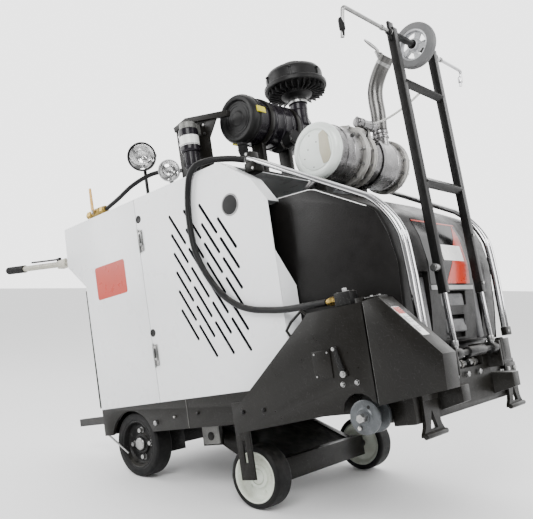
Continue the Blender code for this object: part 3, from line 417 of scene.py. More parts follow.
def repeated(mesh, material, count, centre=(0, 0, 0), step=(0, 0, 0), turn=(0, 0, 0), skip=-1):
    """Copies of a mesh in a row or round a circle, grown by a node tree: each one is moved by the
    step and turned by the turn from the one before it, about the centre."""
    tree = bpy.data.node_groups.new("copies", "GeometryNodeTree")
    sockets = {}
    for label, kind in (("Shape", "Geometry"), ("Count", "Int"), ("Centre", "Vector"), ("Step", "Vector"),
                        ("Turn", "Vector"), ("Left Out", "Int"), ("Finish", "Material")):
        sockets[label] = tree.interface.new_socket(label, in_out="INPUT", socket_type="NodeSocket" + kind)
    tree.interface.new_socket("Copies", in_out="OUTPUT", socket_type="NodeSocketGeometry")
    nodes, link = tree.nodes, tree.links.new
    given, result = nodes.new("NodeGroupInput"), nodes.new("NodeGroupOutput")
    row = nodes.new("GeometryNodeMeshLine")
    link(given.outputs["Count"], row.inputs["Count"])
    link(given.outputs["Centre"], row.inputs["Start Location"])
    link(given.outputs["Step"], row.inputs["Offset"])
    index = nodes.new("GeometryNodeInputIndex")
    keep = nodes.new("FunctionNodeCompare")
    keep.data_type, keep.operation = "INT", "NOT_EQUAL"
    link(index.outputs["Index"], keep.inputs[2])
    link(given.outputs["Left Out"], keep.inputs[3])
    angle = nodes.new("ShaderNodeVectorMath")
    angle.operation = "SCALE"
    link(given.outputs["Turn"], angle.inputs[0])
    link(index.outputs["Index"], angle.inputs["Scale"])
    copies = nodes.new("GeometryNodeInstanceOnPoints")
    link(row.outputs["Mesh"], copies.inputs["Points"])
    link(keep.outputs["Result"], copies.inputs["Selection"])
    link(given.outputs["Shape"], copies.inputs["Instance"])
    link(angle.outputs["Vector"], copies.inputs["Rotation"])
    real = nodes.new("GeometryNodeRealizeInstances")
    link(copies.outputs["Instances"], real.inputs["Geometry"])
    finish = nodes.new("GeometryNodeSetMaterial")
    link(real.outputs["Geometry"], finish.inputs["Geometry"])
    link(given.outputs["Finish"], finish.inputs["Material"])
    link(finish.outputs["Geometry"], result.inputs["Copies"])
    carrier = bpy.data.objects.new("carrier", mesh)
    scene.collection.objects.link(carrier)
    grown = carrier.modifiers.new("copies", "NODES")
    grown.node_group = tree
    for label, value in (("Count", count), ("Centre", Vector(centre)), ("Step", Vector(step)),
                         ("Turn", Vector(turn)), ("Left Out", skip), ("Finish", material)):
        grown[sockets[label].identifier] = value
    made = bpy.data.meshes.new_from_object(carrier.evaluated_get(bpy.context.evaluated_depsgraph_get()))
    bpy.data.objects.remove(carrier, do_unlink=True)
    bpy.data.node_groups.remove(tree)
    return made


def piece(name, shapes, body, *nodes, keen=34.0):
    """One object of these (mesh, material) shapes, placed in its vertices, riding on a body."""
    whole, finishes = bmesh.new(), []
    for mesh, material in shapes:
        if material not in finishes:
            finishes.append(material)
        first = len(whole.faces)
        whole.from_mesh(mesh)
        whole.faces.ensure_lookup_table()
        for face in whole.faces[first:]:
            face.material_index = finishes.index(material)
            face.smooth = True
        bpy.data.meshes.remove(mesh)
    whole.transform(saw)
    mesh = bpy.data.meshes.new(name)
    whole.to_mesh(mesh)
    whole.free()
    for material in finishes:
        mesh.materials.append(material)
    mesh.set_sharp_from_angle(angle=math.radians(keen))
    made = bpy.data.objects.new(name, mesh)
    scene.collection.objects.link(made)
    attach(made, body)
    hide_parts(*nodes)
    return made


def mirrored(span, side):
    return tuple(sorted(side * value for value in span))


SIDES = (("R", -1), ("L", 1))
# Half the cowl's width, the height of its hood, the seam between its wall and the side door, and where
# the handlebars leave the rear wall.
HALF, HOOD, SEAM = 0.389, 0.945, 0.193
BAR_Y, BAR_V = 0.32, 0.814
# Cowl: folded steel sheet under a white powder coat, in one shell of rear walls, overhang and hood.
# Its rear edges wear a black rubber trim and its flanks a plain orange panel.
white_coat = surface("white_coat", (0.80, 0.81, 0.82), (0.70, 0.71, 0.71), (0.24, 0.36), coat=0.3,
                     grain=(620.0, 0.035), patches=3.0, amount=0.35, dust=0.12)
black_rubber = surface("black_rubber", (0.013, 0.013, 0.013), (0.028, 0.028, 0.028), (0.5, 0.68),
                       grain=(800.0, 0.15), patches=12.0)
orange_film = surface("orange_film", (0.44, 0.022, 0.002), (0.36, 0.018, 0.002), (0.25, 0.35), coat=0.2,
                      grain=(300.0, 0.02), patches=9.0)
black_plug = surface("black_plug", (0.015, 0.015, 0.015), (0.03, 0.03, 0.03), (0.25, 0.4),
                     grain=(700.0, 0.08), patches=20.0)
rear_line = [(-0.181, 0.1535), (-0.184, 0.673), (-0.297, 0.779), (-0.289, HOOD)]
cowl = []
for _, side in SIDES:
    wall = [(SEAM - 0.0015, 0.1535), *rear_line, (SEAM - 0.0015, HOOD)]
    cowl.append((slab("y", wall, *mirrored((HALF - 0.003, HALF), side), 0.0008), white_coat))
    cowl.append((block((SEAM - 0.028, SEAM + 0.0005), mirrored((0.3725, 0.3845), side), (0.156, 0.940)),
                 white_coat))
    trim = [(-0.1885, 0.160), (-0.1865, 0.655)]
    cowl.append((swept([(u, side * (HALF - 0.004), v) for u, v in trim], 0.0052, 12), black_rubber))
    panel = eased([(-0.108, 0.600), (0.088, 0.600), (0.088, 0.735), (-0.108, 0.735)], 0.012)
    cowl.append((slab("y", panel, *mirrored((HALF, HALF + 0.0003), side), 0), orange_film))
for low, high in zip(rear_line, rear_line[1:]):
    band = [low, high, (high[0] + 0.003, high[1]), (low[0] + 0.003, low[1])]
    cowl.append((slab("y", band, -0.3875, 0.3875, 0.0006), white_coat))
cowl.append((block((-0.2885, 0.661), (-0.3845, 0.3845), (HOOD - 0.003, HOOD), 0.0008), white_coat))
cowl.append((block((-0.2885, SEAM - 0.0015), (-0.3875, 0.3875), (HOOD - 0.003, HOOD + 0.0002), 0.0008),
             white_coat))
holes = [peg("u", (0, side * BAR_Y, BAR_V), 0.0185, -0.33, -0.26, 0) for _, side in SIDES]
for k, (mesh, material) in enumerate(cowl):
    box = [v.co for v in mesh.vertices]
    if max(p.x for p in box) < -0.285 and max(p.y for p in box) - min(p.y for p in box) > 0.7:
        cowl[k] = (combined(mesh, [h.copy() for h in holes], "DIFFERENCE"), material)
for _, side in SIDES:
    ring = [(0.0186, -0.3015), (0.0245, -0.3015), (0.0255, -0.2985), (0.0186, -0.2985)]
    cowl.append((turned("u", (0, side * BAR_Y, BAR_V), ring, 40), black_rubber))
piece("cowl_skin", cowl, "chassis", "cowl_shell")

# Side doors: lift-off panels of the same white sheet. The louvre slots are lasered through in four
# slanted columns, a black foam liner shows behind them, and the front edge is folded inwards.
foam = surface("foam", (0.006, 0.007, 0.012), (0.012, 0.012, 0.018), (0.85, 0.95), grain=(420.0, 0.9),
               patches=40.0)
badge_black = surface("badge_black", (0.012, 0.012, 0.013), (0.02, 0.02, 0.02), (0.32, 0.42), coat=0.0,
                      grain=(500.0, 0.02), patches=14.0)
badge_rim = surface("badge_rim", (0.30, 0.30, 0.30), (0.22, 0.22, 0.22), (0.3, 0.4), metal=0.7, patches=14.0)
door_line = [(SEAM + 0.0015, 0.1535), (0.855, 0.1535), (0.857, 0.760), (0.799, 0.849), (0.667, HOOD)]
door_line += [(SEAM + 0.0015, HOOD)]
SLOT_RUN, SLOT_DROP, SLOT_R = 0.070, 0.124, 0.0060
for name, side in SIDES:
    half_slot = math.hypot(SLOT_RUN, SLOT_DROP) / 2 - SLOT_R
    slant = math.atan2(-SLOT_DROP, SLOT_RUN)
    capsule = []
    for k in range(20):
        reach = half_slot if k < 10 else -half_slot
        angle = math.pi * k / 9 - math.pi / 2 if k < 10 else math.pi * (k - 10) / 9 + math.pi / 2
        a, b = reach + SLOT_R * math.cos(angle), SLOT_R * math.sin(angle)
        capsule.append((a * math.cos(slant) - b * math.sin(slant), a * math.sin(slant) + b * math.cos(slant)))
    sheet = slab("y", door_line, *mirrored((HALF - 0.003, HALF), side), 0)
    cutters = []
    for column, left_out in enumerate((6, -1, -1, 0)):
        slot = slab("y", capsule, *mirrored((0.375, 0.400), side), 0)
        top = (0.381 + 0.081 * column + SLOT_RUN / 2, 0, 0.831 - SLOT_DROP / 2)
        cutters.append(repeated(slot, white_coat, 7, centre=top, step=(0, 0, -0.0705), skip=left_out))
    sheet = combined(sheet, cutters, "DIFFERENCE")
    softened = bmesh.new()
    softened.from_mesh(sheet)
    rim = [e for e in softened.edges if e.is_manifold and e.calc_face_angle(0.0) > math.radians(60)]
    bmesh.ops.bevel(softened, geom=rim, offset=0.0005, segments=1, profile=0.5, affect="EDGES",
                    clamp_overlap=True)
    softened.to_mesh(sheet)
    softened.free()
    shoulder = [(0.667, HOOD - 0.0005), (0.799, 0.849), (0.857, 0.760), (0.8535, 0.7585), (0.796, 0.847)]
    shoulder += [(0.6645, HOOD - 0.0035)]
    inward = [(u, side * y) for u, y in ((0.8515, 0.3885), (0.8545, 0.3885), (0.884, 0.3395),
                                         (0.8805, 0.3395))]
    rise = (0.600, 0.600, 0.470, 0.470)
    liner = [(0.345, 0.215), (0.800, 0.215), (0.800, 0.800), (0.66, 0.865), (0.345, 0.865)]
    shapes = [
        (sheet, white_coat),
        (slab("y", shoulder, *mirrored((0.330, HALF - 0.001), side), 0.0008), white_coat),
        (shaped([(u, y, 0.1535) for u, y in inward] + [(u, y, top) for (u, y), top in zip(inward, rise)],
                [(0, 1, 2, 3), (4, 5, 6, 7), (0, 1, 5, 4), (1, 2, 6, 5), (2, 3, 7, 6),
                 (3, 0, 4, 7)]), white_coat),
        (slab("y", liner, *mirrored((0.374, 0.383), side), 0), foam),
    ]
    for u, v in ((0.208, 0.862), (0.205, 0.418)):
        cap = [(0, 0.3875), (0.0150, 0.3875), (0.0150, 0.3897), (0.0125, 0.3915), (0.010, 0.3905),
               (0, 0.3905)]
        shapes.append((turned("y", (u, 0, v), [(r, side * y) for r, y in cap], 40), black_plug))
    ring = [(0.0335, 0.3885), (0.0385, 0.3885), (0.0385, 0.3912), (0.0365, 0.3925), (0.0335, 0.3912)]
    face = [(0, 0.3885), (0.0338, 0.3885), (0.0338, 0.3908), (0.020, 0.3914), (0, 0.3916)]
    badge = (0.693, 0, 0.787)
    shapes.append((turned("y", badge, [(r, side * y) for r, y in ring], 64), badge_rim))
    shapes.append((turned("y", badge, [(r, side * y) for r, y in face], 64), badge_black))
    piece("door_skin_" + name, shapes, "chassis", "side_door_" + name)

# Wheels: solid rubber tyres pressed on dished hubs. The rear pair is driven and dark, with silver
# lugs round a turned cap; the front pair has cream painted dishes with small bolts and a hub cap.
tyre_rubber = surface("tyre_rubber", (0.014, 0.014, 0.015), (0.040, 0.039, 0.037), (0.48, 0.66),
                      grain=(260.0, 0.35), patches=14.0, amount=0.7, dust=0.2)
dark_paint = surface("dark_paint", (0.012, 0.012, 0.012), (0.030, 0.029, 0.027), (0.28, 0.44),
                     grain=(640.0, 0.08), patches=9.0, scratch=0.35, dust=0.3)
cream_paint = surface("cream_paint", (0.62, 0.66, 0.58), (0.42, 0.42, 0.34), (0.32, 0.5), coat=0.15,
                      grain=(500.0, 0.06), patches=22.0, amount=0.55, scratch=0.3)
zinc = surface("zinc", (0.34, 0.34, 0.335), (0.18, 0.18, 0.18), (0.22, 0.42), metal=0.95,
               grain=(420.0, 0.12), patches=30.0, amount=0.6)


def refined(node, soft=0.0012, steps=2, corner=24.0):
    """The CAD node's shape with its flat faces merged and its edges rounded, in the machine's own frame."""
    made = bmesh.new()
    made.from_mesh(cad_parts[node].data)
    bmesh.ops.remove_doubles(made, verts=made.verts, dist=2e-5)
    bmesh.ops.dissolve_limit(made, angle_limit=math.radians(1.0), verts=made.verts, edges=made.edges)
    made.transform(saw.inverted())
    bmesh.ops.recalc_face_normals(made, faces=made.faces)
    if soft:
        keen = [e for e in made.edges if e.is_manifold and e.calc_face_angle(0.0) > math.radians(corner)]
        bmesh.ops.bevel(made, geom=keen, offset=soft, segments=steps, profile=0.5, affect="EDGES",
                        clamp_overlap=True)
    mesh = bpy.data.meshes.new("shape")
    made.to_mesh(mesh)
    made.free()
    return mesh


def wheel(kind, name, side, place, radius, width, track, rim, dish, paint, lugs):
    near, far = (track - width) / 2, (track + width) / 2
    tread = [(rim, near), (radius - 0.007, near), (radius - 0.001, near + 0.006), (radius, near + 0.012)]
    tread += [(radius, far - 0.012), (radius - 0.001, far - 0.006), (radius - 0.008, far), (rim + 0.004, far)]
    tread += [(rim, far - 0.002)]
    tread = rounded(tread, 0.003)
    piece(kind + "_tread_" + name, [(turned("y", place, [(r, side * y) for r, y in tread], 112),
                                     tyre_rubber)],
          kind + "_wheel_" + name, kind + "_tyre_" + name)
    edge = rim - 0.0004
    disc = [(0.0, near + 0.020), (edge - 0.02, near + 0.020), (edge - 0.006, near + 0.003),
            (edge, near + 0.003)]
    disc += [(edge, far - 0.0015), (edge - 0.005, far - 0.0015), (edge - 0.008, far - 0.006)]
    disc += [(edge - 0.012, far - dish * 0.75), (edge - 0.020, far - dish), (0.047, far - dish)]
    disc += [(0.042, far - dish + 0.002), (0.040, far - dish + 0.010), (0.028, far - dish + 0.011)]
    cap_end = far - (0.010 if kind == "rear" else 0.016)
    disc += [(0.028, far - dish + 0.006), (0.0, far - dish + 0.006)]
    cap = [(0.0, far - dish + 0.004), (0.026, far - dish + 0.004), (0.026, cap_end - 0.004)]
    cap += [(0.022, cap_end), (0.0, cap_end + 0.001)]
    shapes = [
        (turned("y", place, [(r, side * y) for r, y in rounded(disc, 0.003)], 96), paint),
        (turned("y", place, [(r, side * y) for r, y in rounded(cap, 0.003)], 48), lugs),
    ]
    count, ring, size = (4, 0.052, 0.0095) if kind == "rear" else (5, 0.055, 0.0045)
    rise = 0.014 if kind == "rear" else 0.005
    head = bolt("y", (ring, 0, 0), size, 0.0, rise)
    washer = peg("y", (ring, 0, 0), size * 1.35, -0.002, 0.003, 0.0004)
    spot = (place[0], side * (far - dish) + (0 if side > 0 else -rise), place[2])
    turn = (0, 2 * math.pi / count, 0)
    shapes.append((repeated(head, lugs, count, centre=spot, turn=turn), lugs))
    shapes.append((repeated(washer, lugs, count, centre=(spot[0], side * (far - dish), spot[2]), turn=turn),
                   lugs))
    piece(kind + "_dish_" + name, shapes, kind + "_wheel_" + name, kind + "_hub_" + name)


REAR_R, FRONT_R, FRONT_U = 0.127, 0.1082, 0.598
FRONT_V = (FRONT_R - REAR_R - FRONT_U * math.sin(PITCH)) / math.cos(PITCH)
for name, side in SIDES:
    wheel("rear", name, side, (0, 0, 0), REAR_R, 0.076, 0.671, 0.094, 0.032, dark_paint, zinc)
    wheel("front", name, side, (FRONT_U, 0, FRONT_V), FRONT_R, 0.0769, 0.6543, 0.089, 0.030, cream_paint,
          cream_paint)

# Frame and running gear: welded box channels, cross members and tow bars in black powder coat, with
# zinc bolts through the rails; the front carriage swings on its cross shaft below them.
black_coat = surface("black_coat", (0.0135, 0.0120, 0.0095), (0.022, 0.020, 0.016), (0.30, 0.44), coat=0.12,
                     grain=(760.0, 0.10), patches=6.0, scratch=0.18, dust=0.22)
raw_steel = surface("raw_steel", (0.40, 0.39, 0.37), (0.20, 0.19, 0.18), (0.3, 0.5), metal=0.9,
                    grain=(380.0, 0.15), patches=24.0, amount=0.7)
worn_grey = surface("worn_grey", (0.17, 0.17, 0.16), (0.07, 0.07, 0.07), (0.36, 0.52), metal=0.3,
                    grain=(420.0, 0.15), patches=18.0, scratch=0.4, dust=0.3)
shapes = [(refined("frame", 0.0015), black_coat)]
for _, side in SIDES:
    for u, v, size, finish in ((0.152, 0.078, 0.0105, zinc), (0.265, 0.093, 0.005, raw_steel),
                               (0.392, 0.098, 0.006, dark_paint)):
        far = side * 0.3885
        shapes.append((bolt("y", (u, 0, v), size, far, far + side * 0.007, 0.4), finish))
    seam = [(0.337, side * 0.3892, 0.151), (0.336, side * 0.3892, 0.048)]
    shapes.append((swept(seam, 0.0012, 8), worn_grey))
    scraper = [(-0.165, side * 0.384, 0.050), (-0.150, side * 0.384, 0.040), (-0.045, side * 0.384, -0.030)]
    shapes.append((swept(bends(scraper, 0.01), 0.0042, 12), zinc))
    lug = [(0.285, -0.030), (0.375, -0.030), (0.375, 0.05), (0.285, 0.05)]
    shapes.append((slab("y", eased(lug, 0.012), *mirrored((0.2785, 0.2815), side), 0.0006), worn_grey))
    for k in range(2):
        end = peg("u", (0, side * 0.300, 0.106), 0.010, -0.462 + 0.004 * k, -0.4595, 0.0004)
        shapes.append((end, dark_paint))
piece("frame_skin", shapes, "chassis", "frame")
piece("axle_skin", [(refined("rear_axle", 0.002), dark_paint)], "chassis", "rear_axle")
shapes = [(refined("axle_carriage", 0.002), black_coat)]
for _, side in SIDES:
    for u, v in ((0.575, -0.120), (0.620, -0.120), (0.575, -0.165), (0.620, -0.165)):
        shapes.append((bolt("y", (u, 0, v), 0.007, side * 0.2615, side * 0.268), zinc))
    for u, v in ((0.585, -0.1025), (0.610, -0.1025)):
        shapes.append((bolt("v", (u, side * 0.225, 0), 0.0065, v, v + 0.006), zinc))
piece("carriage_skin", shapes, "carriage", "axle_carriage")
piece("barrel_skin", [(refined("lift_barrel", 0.0015), dark_paint)], "chassis", "lift_barrel")
chrome = surface("chrome", (0.62, 0.62, 0.63), (0.46, 0.46, 0.47), (0.04, 0.12), metal=1.0,
                 grain=(300.0, 0.01), patches=10.0, amount=0.3)
piece("piston_skin", [(refined("lift_rod", 0.0008), chrome)], "lift_piston", "lift_rod")
fittings = [(refined("guard_bracket", 0.0010), black_coat),
            (bolt("y", (0.604, 0, 0.085), 0.0085, -0.3975, -0.405), zinc)]
piece("hanger_skin", fittings, "chassis", "guard_bracket")

# Nose and feet: a square cross tube with forward arms, and two plate feet bolted on, each with a
# triangular hole over a rounded toe bar. Black coat, with plated adjusters between them.
nose = [(refined("front_beam", 0.002), black_coat)]
for _, side in SIDES:
    nose.append((slab("y", eased([(1.205, 0.125), (1.262, 0.125), (1.262, 0.205), (1.235, 0.205)], 0.006),
                      *mirrored((0.318, 0.330), side), 0.001), black_coat))
    for y in (0.243, 0.262, 0.362):
        nose.append((bolt("u", (0, side * y, 0.088), 0.0085, 1.262, 1.271), zinc))
for y, v in ((-0.105, 0.150), (-0.02, 0.150), (0.07, 0.150)):
    nose.append((peg("y", (1.245, 0, v - 0.012), 0.011, y - 0.03, y + 0.03, 0.002), zinc))
    nose.append((bolt("y", (1.245, 0, v - 0.012), 0.016, y - 0.008, y + 0.006), raw_steel))
    nose.append((bolt("u", (0, y, 0.105), 0.010, 1.262, 1.274), zinc))
piece("nose_skin", nose, "chassis", "front_beam")
for name, side in SIDES:
    foot = [(0.268, 0.118), (0.352, 0.118), (0.356, -0.01), (0.374, -0.032), (0.374, -0.040)]
    foot += [(0.246, -0.040), (0.246, -0.032), (0.264, -0.01)]
    plate = slab("u", eased([(side * y, v) for y, v in foot], 0.010), 1.2630, 1.2742, 0)
    hole = eased([(side * 0.288, -0.022), (side * 0.332, -0.022), (side * 0.310, 0.032)], 0.006)
    plate = combined(plate, [slab("u", hole, 1.25, 1.29, 0)], "DIFFERENCE")
    shapes = [
        (plate, black_coat),
        (peg("y", (1.277, 0, -0.0375), 0.0082, *mirrored((0.2465, 0.3735), side), 0.002), black_coat),
        (slab("u", [(side * 0.263, 0.112), (side * 0.357, 0.112), (side * 0.357, 0.060),
                    (side * 0.263, 0.060)], 1.2742, 1.2772, 0.001), black_coat),
    ]
    for y in (0.285, 0.342):
        shapes.append((bolt("u", (0, side * y, 0.092), 0.0088, 1.2742, 1.2830), zinc))
    piece("foot_skin_" + name, shapes, "chassis", "front_foot_" + name)

# Fuel tank: one rotomoulded black shell across the nose, satin on its shoulders and pebbled below,
# with stepped ledges and upright ribs on the front, their raised faces coloured lighter grey as painted
# sheen. A plain film covers the upper front.
tank_plastic = surface("tank_plastic", (0.0115, 0.0105, 0.010), (0.024, 0.022, 0.021), (0.28, 0.42),
                       coat=0.15,
                       grain=(330.0, 0.30), patches=8.0, dust=0.15)
# Lighter grey for the tank's ribs and ledges: painted sheen on the black moulding.
tank_painted_sheen = surface("tank_painted_sheen", (0.075, 0.075, 0.078), (0.035, 0.035, 0.036), (0.30, 0.46), coat=0.1,
                    grain=(300.0, 0.4), patches=26.0, amount=0.7, dust=0.1)
film_black = surface("film_black", (0.006, 0.006, 0.006), (0.010, 0.010, 0.010), (0.12, 0.2), coat=0.5,
                     grain=(200.0, 0.01), patches=9.0)
# White film; the same material also draws the painted highlight along the tank's cheeks.
white_film_and_highlight = surface("white_film_and_highlight", (0.82, 0.82, 0.81), (0.74, 0.74, 0.73), (0.22, 0.3), coat=0.3,
                     grain=(200.0, 0.01), patches=9.0)
film_grey = surface("film_grey", (0.36, 0.36, 0.36), (0.24, 0.24, 0.24), (0.3, 0.42), patches=16.0)
TANK_HALF = 0.335
tank_front = [(1.175, 0.160), (1.200, 0.207), (1.238, 0.207), (1.252, 0.321), (1.261, 0.468), (1.246, 0.559)]
tank_front += [(1.216, 0.634), (1.190, 0.656), (0.999, 0.762), (0.956, 0.765)]


def film(rows, material, lift):
    """A thin sheet on the tank's front: each row is (height, left, right)."""
    def front(v):
        for (u0, v0), (u1, v1) in zip(tank_front[2:], tank_front[3:]):
            if v0 <= v <= v1:
                return u0 + (u1 - u0) * (v - v0) / (v1 - v0)
        return tank_front[2][0]
    points = [(front(v) + lift + under, y, v) for under in (0.0, -0.0010) for v, a, b in rows for y in (a, b)]
    n, faces = 2 * len(rows), []
    for k in range(len(rows) - 1):
        i = 2 * k
        faces += [(i, i + 1, i + 3, i + 2), (n + i, n + i + 1, n + i + 3, n + i + 2)]
        faces += [(i, i + 2, n + i + 2, n + i), (i + 1, i + 3, n + i + 3, n + i + 1)]
    faces += [(0, 1, n + 1, n), (n - 2, n - 1, 2 * n - 1, 2 * n - 2)]
    return shaped(points, faces), material


shell = [(0.956, 0.160), *tank_front]
tank = slab("y", shell, 0.0035 - TANK_HALF, TANK_HALF - 0.0035, 0.014, 5, 8.0)
recess = [
    block((1.235, 1.30), (-0.09, 0.09), (0.330, 0.378), 0.004),
    block((1.225, 1.30), (-0.07, 0.07), (0.225, 0.300), 0.004),
    block((1.235, 1.30), (-0.215, -0.160), (0.20, 0.44), 0.004),
    block((1.235, 1.30), (0.160, 0.215), (0.20, 0.44), 0.004),
]
tank = combined(tank, recess, "DIFFERENCE")
shapes = [(tank, tank_plastic)]
# The ribs and ledges belong to the black moulding; their lighter grey is painted sheen for the light their
# raised faces catch.
for y in (-0.1875, 0.1875):
    shapes.append((block((1.225, 1.247), (y - 0.018, y + 0.018), (0.215, 0.425), 0.006, 3), tank_painted_sheen))
shapes.append((block((1.225, 1.2500), (-0.085, 0.085), (0.318, 0.372), 0.008, 3), tank_painted_sheen))
shapes.append((block((1.215, 1.2450), (-0.062, 0.085), (0.242, 0.288), 0.007, 3), tank_painted_sheen))
levels = [0.400 + 0.218 * k / 24 for k in range(25)]
shapes.append(film([(v, -0.150, 0.160 - 0.02 * (v - 0.4)) for v in levels], film_black, 0.0012))
shapes.append(film([(v, -0.147, 0.155) for v in (0.610, 0.6125, 0.615)], orange_film, 0.0016))
wedge = [0.402 + 0.205 * k / 20 for k in range(21)]
shapes.append(film([(v, -0.037 + 0.168 * (v - 0.402) / 0.205, 0.136) for v in wedge], orange_film, 0.0020))
shapes.append(film([(v, -0.035, 0.115) for v in (0.478, 0.505, 0.532)], white_film_and_highlight, 0.0026))
shapes.append(film([(v, -0.148, 0.158) for v in (0.382, 0.388, 0.396)], film_grey, 0.0018))
cheek = [(0.8875, 0.160), (1.00, 0.160), (1.175, 0.160), (1.200, 0.207), (1.236, 0.207), (1.250, 0.321)]
cheek += [(1.258, 0.468), (1.243, 0.556), (1.214, 0.630), (1.188, 0.652), (0.999, 0.759), (0.862, 0.767)]
cheek += [(0.859, 0.756), (0.800, 0.756), (0.800, 0.400), (0.846, 0.400), (0.882, 0.345)]
for _, side in SIDES:
    shapes.append((slab("y", cheek, *mirrored((TANK_HALF - 0.003, TANK_HALF), side), 0.0010), tank_plastic))
    # A thin white tube along each cheek's top edge is a painted highlight for the light that edge catches.
    painted_cheek_highlight = [(0.858, side * (TANK_HALF - 0.0015), 0.7668), (0.999, side * (TANK_HALF - 0.0015), 0.7585)]
    painted_cheek_highlight += [(1.186, side * (TANK_HALF - 0.0015), 0.6520)]
    shapes.append((swept(bends(painted_cheek_highlight, 0.02), 0.0018, 8), white_film_and_highlight))
knob = rounded([(0, TANK_HALF - 0.002), (0.010, TANK_HALF - 0.002), (0.010, TANK_HALF + 0.010),
                (0, TANK_HALF + 0.012)], 0.003)
shapes.append((turned("y", (1.236, 0, 0.515), knob, 24), black_plug))
piece("tank_skin", shapes, "chassis", "fuel_tank", keen=50.0)

# Guard rails: twin bright tubes bent over each cheek of the tank, clamped in a black cast bracket at
# the hood and a small tie at the foot.
rail = [(0.745, 0.944), (0.80, 0.912), (1.127, 0.719), (1.196, 0.674), (1.242, 0.618), (1.268, 0.568)]
rail += [(1.278, 0.526), (1.284, 0.42), (1.286, 0.225)]
for name, side in SIDES:
    shapes = []
    for y in (0.318, 0.291):
        run = [(rail[0][0], side * y, rail[0][1])] + flowing([(u, side * y, v) for u, v in rail[1:-1]], 60)
        shapes.append((swept(run + [(rail[-1][0], side * y, rail[-1][1])], 0.0090, 20), chrome))
    shapes.append((block((0.729, 0.775), mirrored((0.277, 0.328), side), (0.893, 0.928), 0.004), black_coat))
    shapes.append((block((0.733, 0.762), mirrored((0.281, 0.324), side), (0.920, 0.967), 0.004), black_coat))
    for u, v in ((0.744, 0.958), (0.765, 0.903)):
        shapes.append((bolt("y", (u, 0, v), 0.006, *(side * 0.3235, side * 0.3284)), zinc))
    shapes.append((block((1.277, 1.297), mirrored((0.280, 0.329), side), (0.209, 0.239), 0.003), black_coat))
    shapes.append((bolt("u", (0, side * 0.3045, 0.224), 0.005, 1.2955, 1.2978), zinc))
    piece("rail_skin_" + name, shapes, "chassis", "guard_rail_" + name)

# Engine bay: painted iron block, finned core with its shroud, and a moulded fan, all in shadow.
engine_iron = surface("engine_iron", (0.030, 0.055, 0.052), (0.050, 0.050, 0.046), (0.45, 0.6), metal=0.2,
                      grain=(240.0, 0.5), patches=11.0, amount=0.8, dust=0.5)
fin_metal = surface("fin_metal", (0.045, 0.045, 0.047), (0.10, 0.10, 0.10), (0.4, 0.55), metal=0.4,
                    grain=(700.0, 0.4), patches=30.0, dust=0.4)
shapes = [(refined("engine_block", 0.003), engine_iron)]
rib = block((-0.004, 0.004), (-0.1735, 0.1735), (-0.13, 0.13), 0.001)
shapes.append((repeated(rib, engine_iron, 7, centre=(0.36, 0, 0.42), step=(0.062, 0, 0)), engine_iron))
for y in (-0.075, 0.075):
    head = bolt("v", (0, 0, 0), 0.009, 0, 0.010)
    shapes.append((repeated(head, engine_iron, 6, centre=(0.39, y, 0.745), step=(0.064, 0, 0)), raw_steel))
piece("engine_skin", shapes, "chassis", "engine_block")
shapes = [(refined("radiator", 0.002), fin_metal)]
fin = block((-0.0006, 0.0006), (-0.292, 0.292), (-0.0012, 0.0012), 0)
shapes.append((repeated(fin, fin_metal, 44, centre=(0.9388, 0, 0.225), step=(0, 0, 0.0108)), fin_metal))
piece("radiator_skin", shapes, "chassis", "radiator")
piece("fan_skin", [(refined("cooling_fan", 0.0012), black_plug)], "fan", "cooling_fan")

# Exhaust canister: two drums in a stainless jacket joined by wide clamped flanges, a cream pressed
# end cap, an upright box between the clamps and a silver sensor tube on top; it stands on black feet.
stainless = surface("stainless", (0.27, 0.265, 0.265), (0.13, 0.127, 0.13), (0.20, 0.40), metal=0.95,
                    grain=(260.0, 0.10), patches=11.0, amount=0.8, scratch=0.4)
cast_pale = surface("cast_pale", (0.42, 0.41, 0.385), (0.24, 0.235, 0.225), (0.34, 0.55), metal=0.5,
                    grain=(520.0, 0.16), patches=22.0, amount=0.8)
cap_cream = surface("cap_cream", (0.74, 0.79, 0.75), (0.62, 0.66, 0.62), (0.30, 0.46), metal=0.15, coat=0.1,
                    patches=12.0)
label_tan = surface("label_tan", (0.44, 0.41, 0.31), (0.36, 0.34, 0.26), (0.4, 0.55), grain=(300.0, 0.12),
                    patches=34.0)
CAN_U, CAN_V = 0.945, 0.925
can_place = (CAN_U, 0, CAN_V)
shapes = []
cap_line = [(0, -0.2015), (0.066, -0.2015), (0.0675, -0.1995), (0.0695, -0.1995), (0.071, -0.2020),
            (0.078, -0.2045)]
cap_line += [(0.088, -0.2020), (0.0975, -0.193), (0.0985, -0.178), (0.096, -0.1770), (0, -0.1770)]
shapes.append((turned("y", can_place, rounded(cap_line, 0.004, 4), 96), cap_cream))
drum = [(0, -0.1780), (0.0945, -0.1780), (0.0965, -0.172), (0.0965, -0.100), (0.0980, -0.098),
        (0.0980, -0.094)]
drum += [(0.0965, -0.092), (0.0965, -0.050), (0.091, -0.046), (0.091, 0.020), (0, 0.020)]
shapes.append((turned("y", can_place, rounded(drum, 0.0015, 2), 96), stainless))
drum = [(0, 0.018), (0.0925, 0.018), (0.0925, 0.105), (0.0938, 0.107), (0.0938, 0.113), (0.0925, 0.115)]
drum += [(0.0925, 0.200), (0.0938, 0.202), (0.0938, 0.208), (0.0925, 0.210), (0.0925, 0.246), (0, 0.246)]
shapes.append((turned("y", can_place, rounded(drum, 0.0012, 2), 96), stainless))
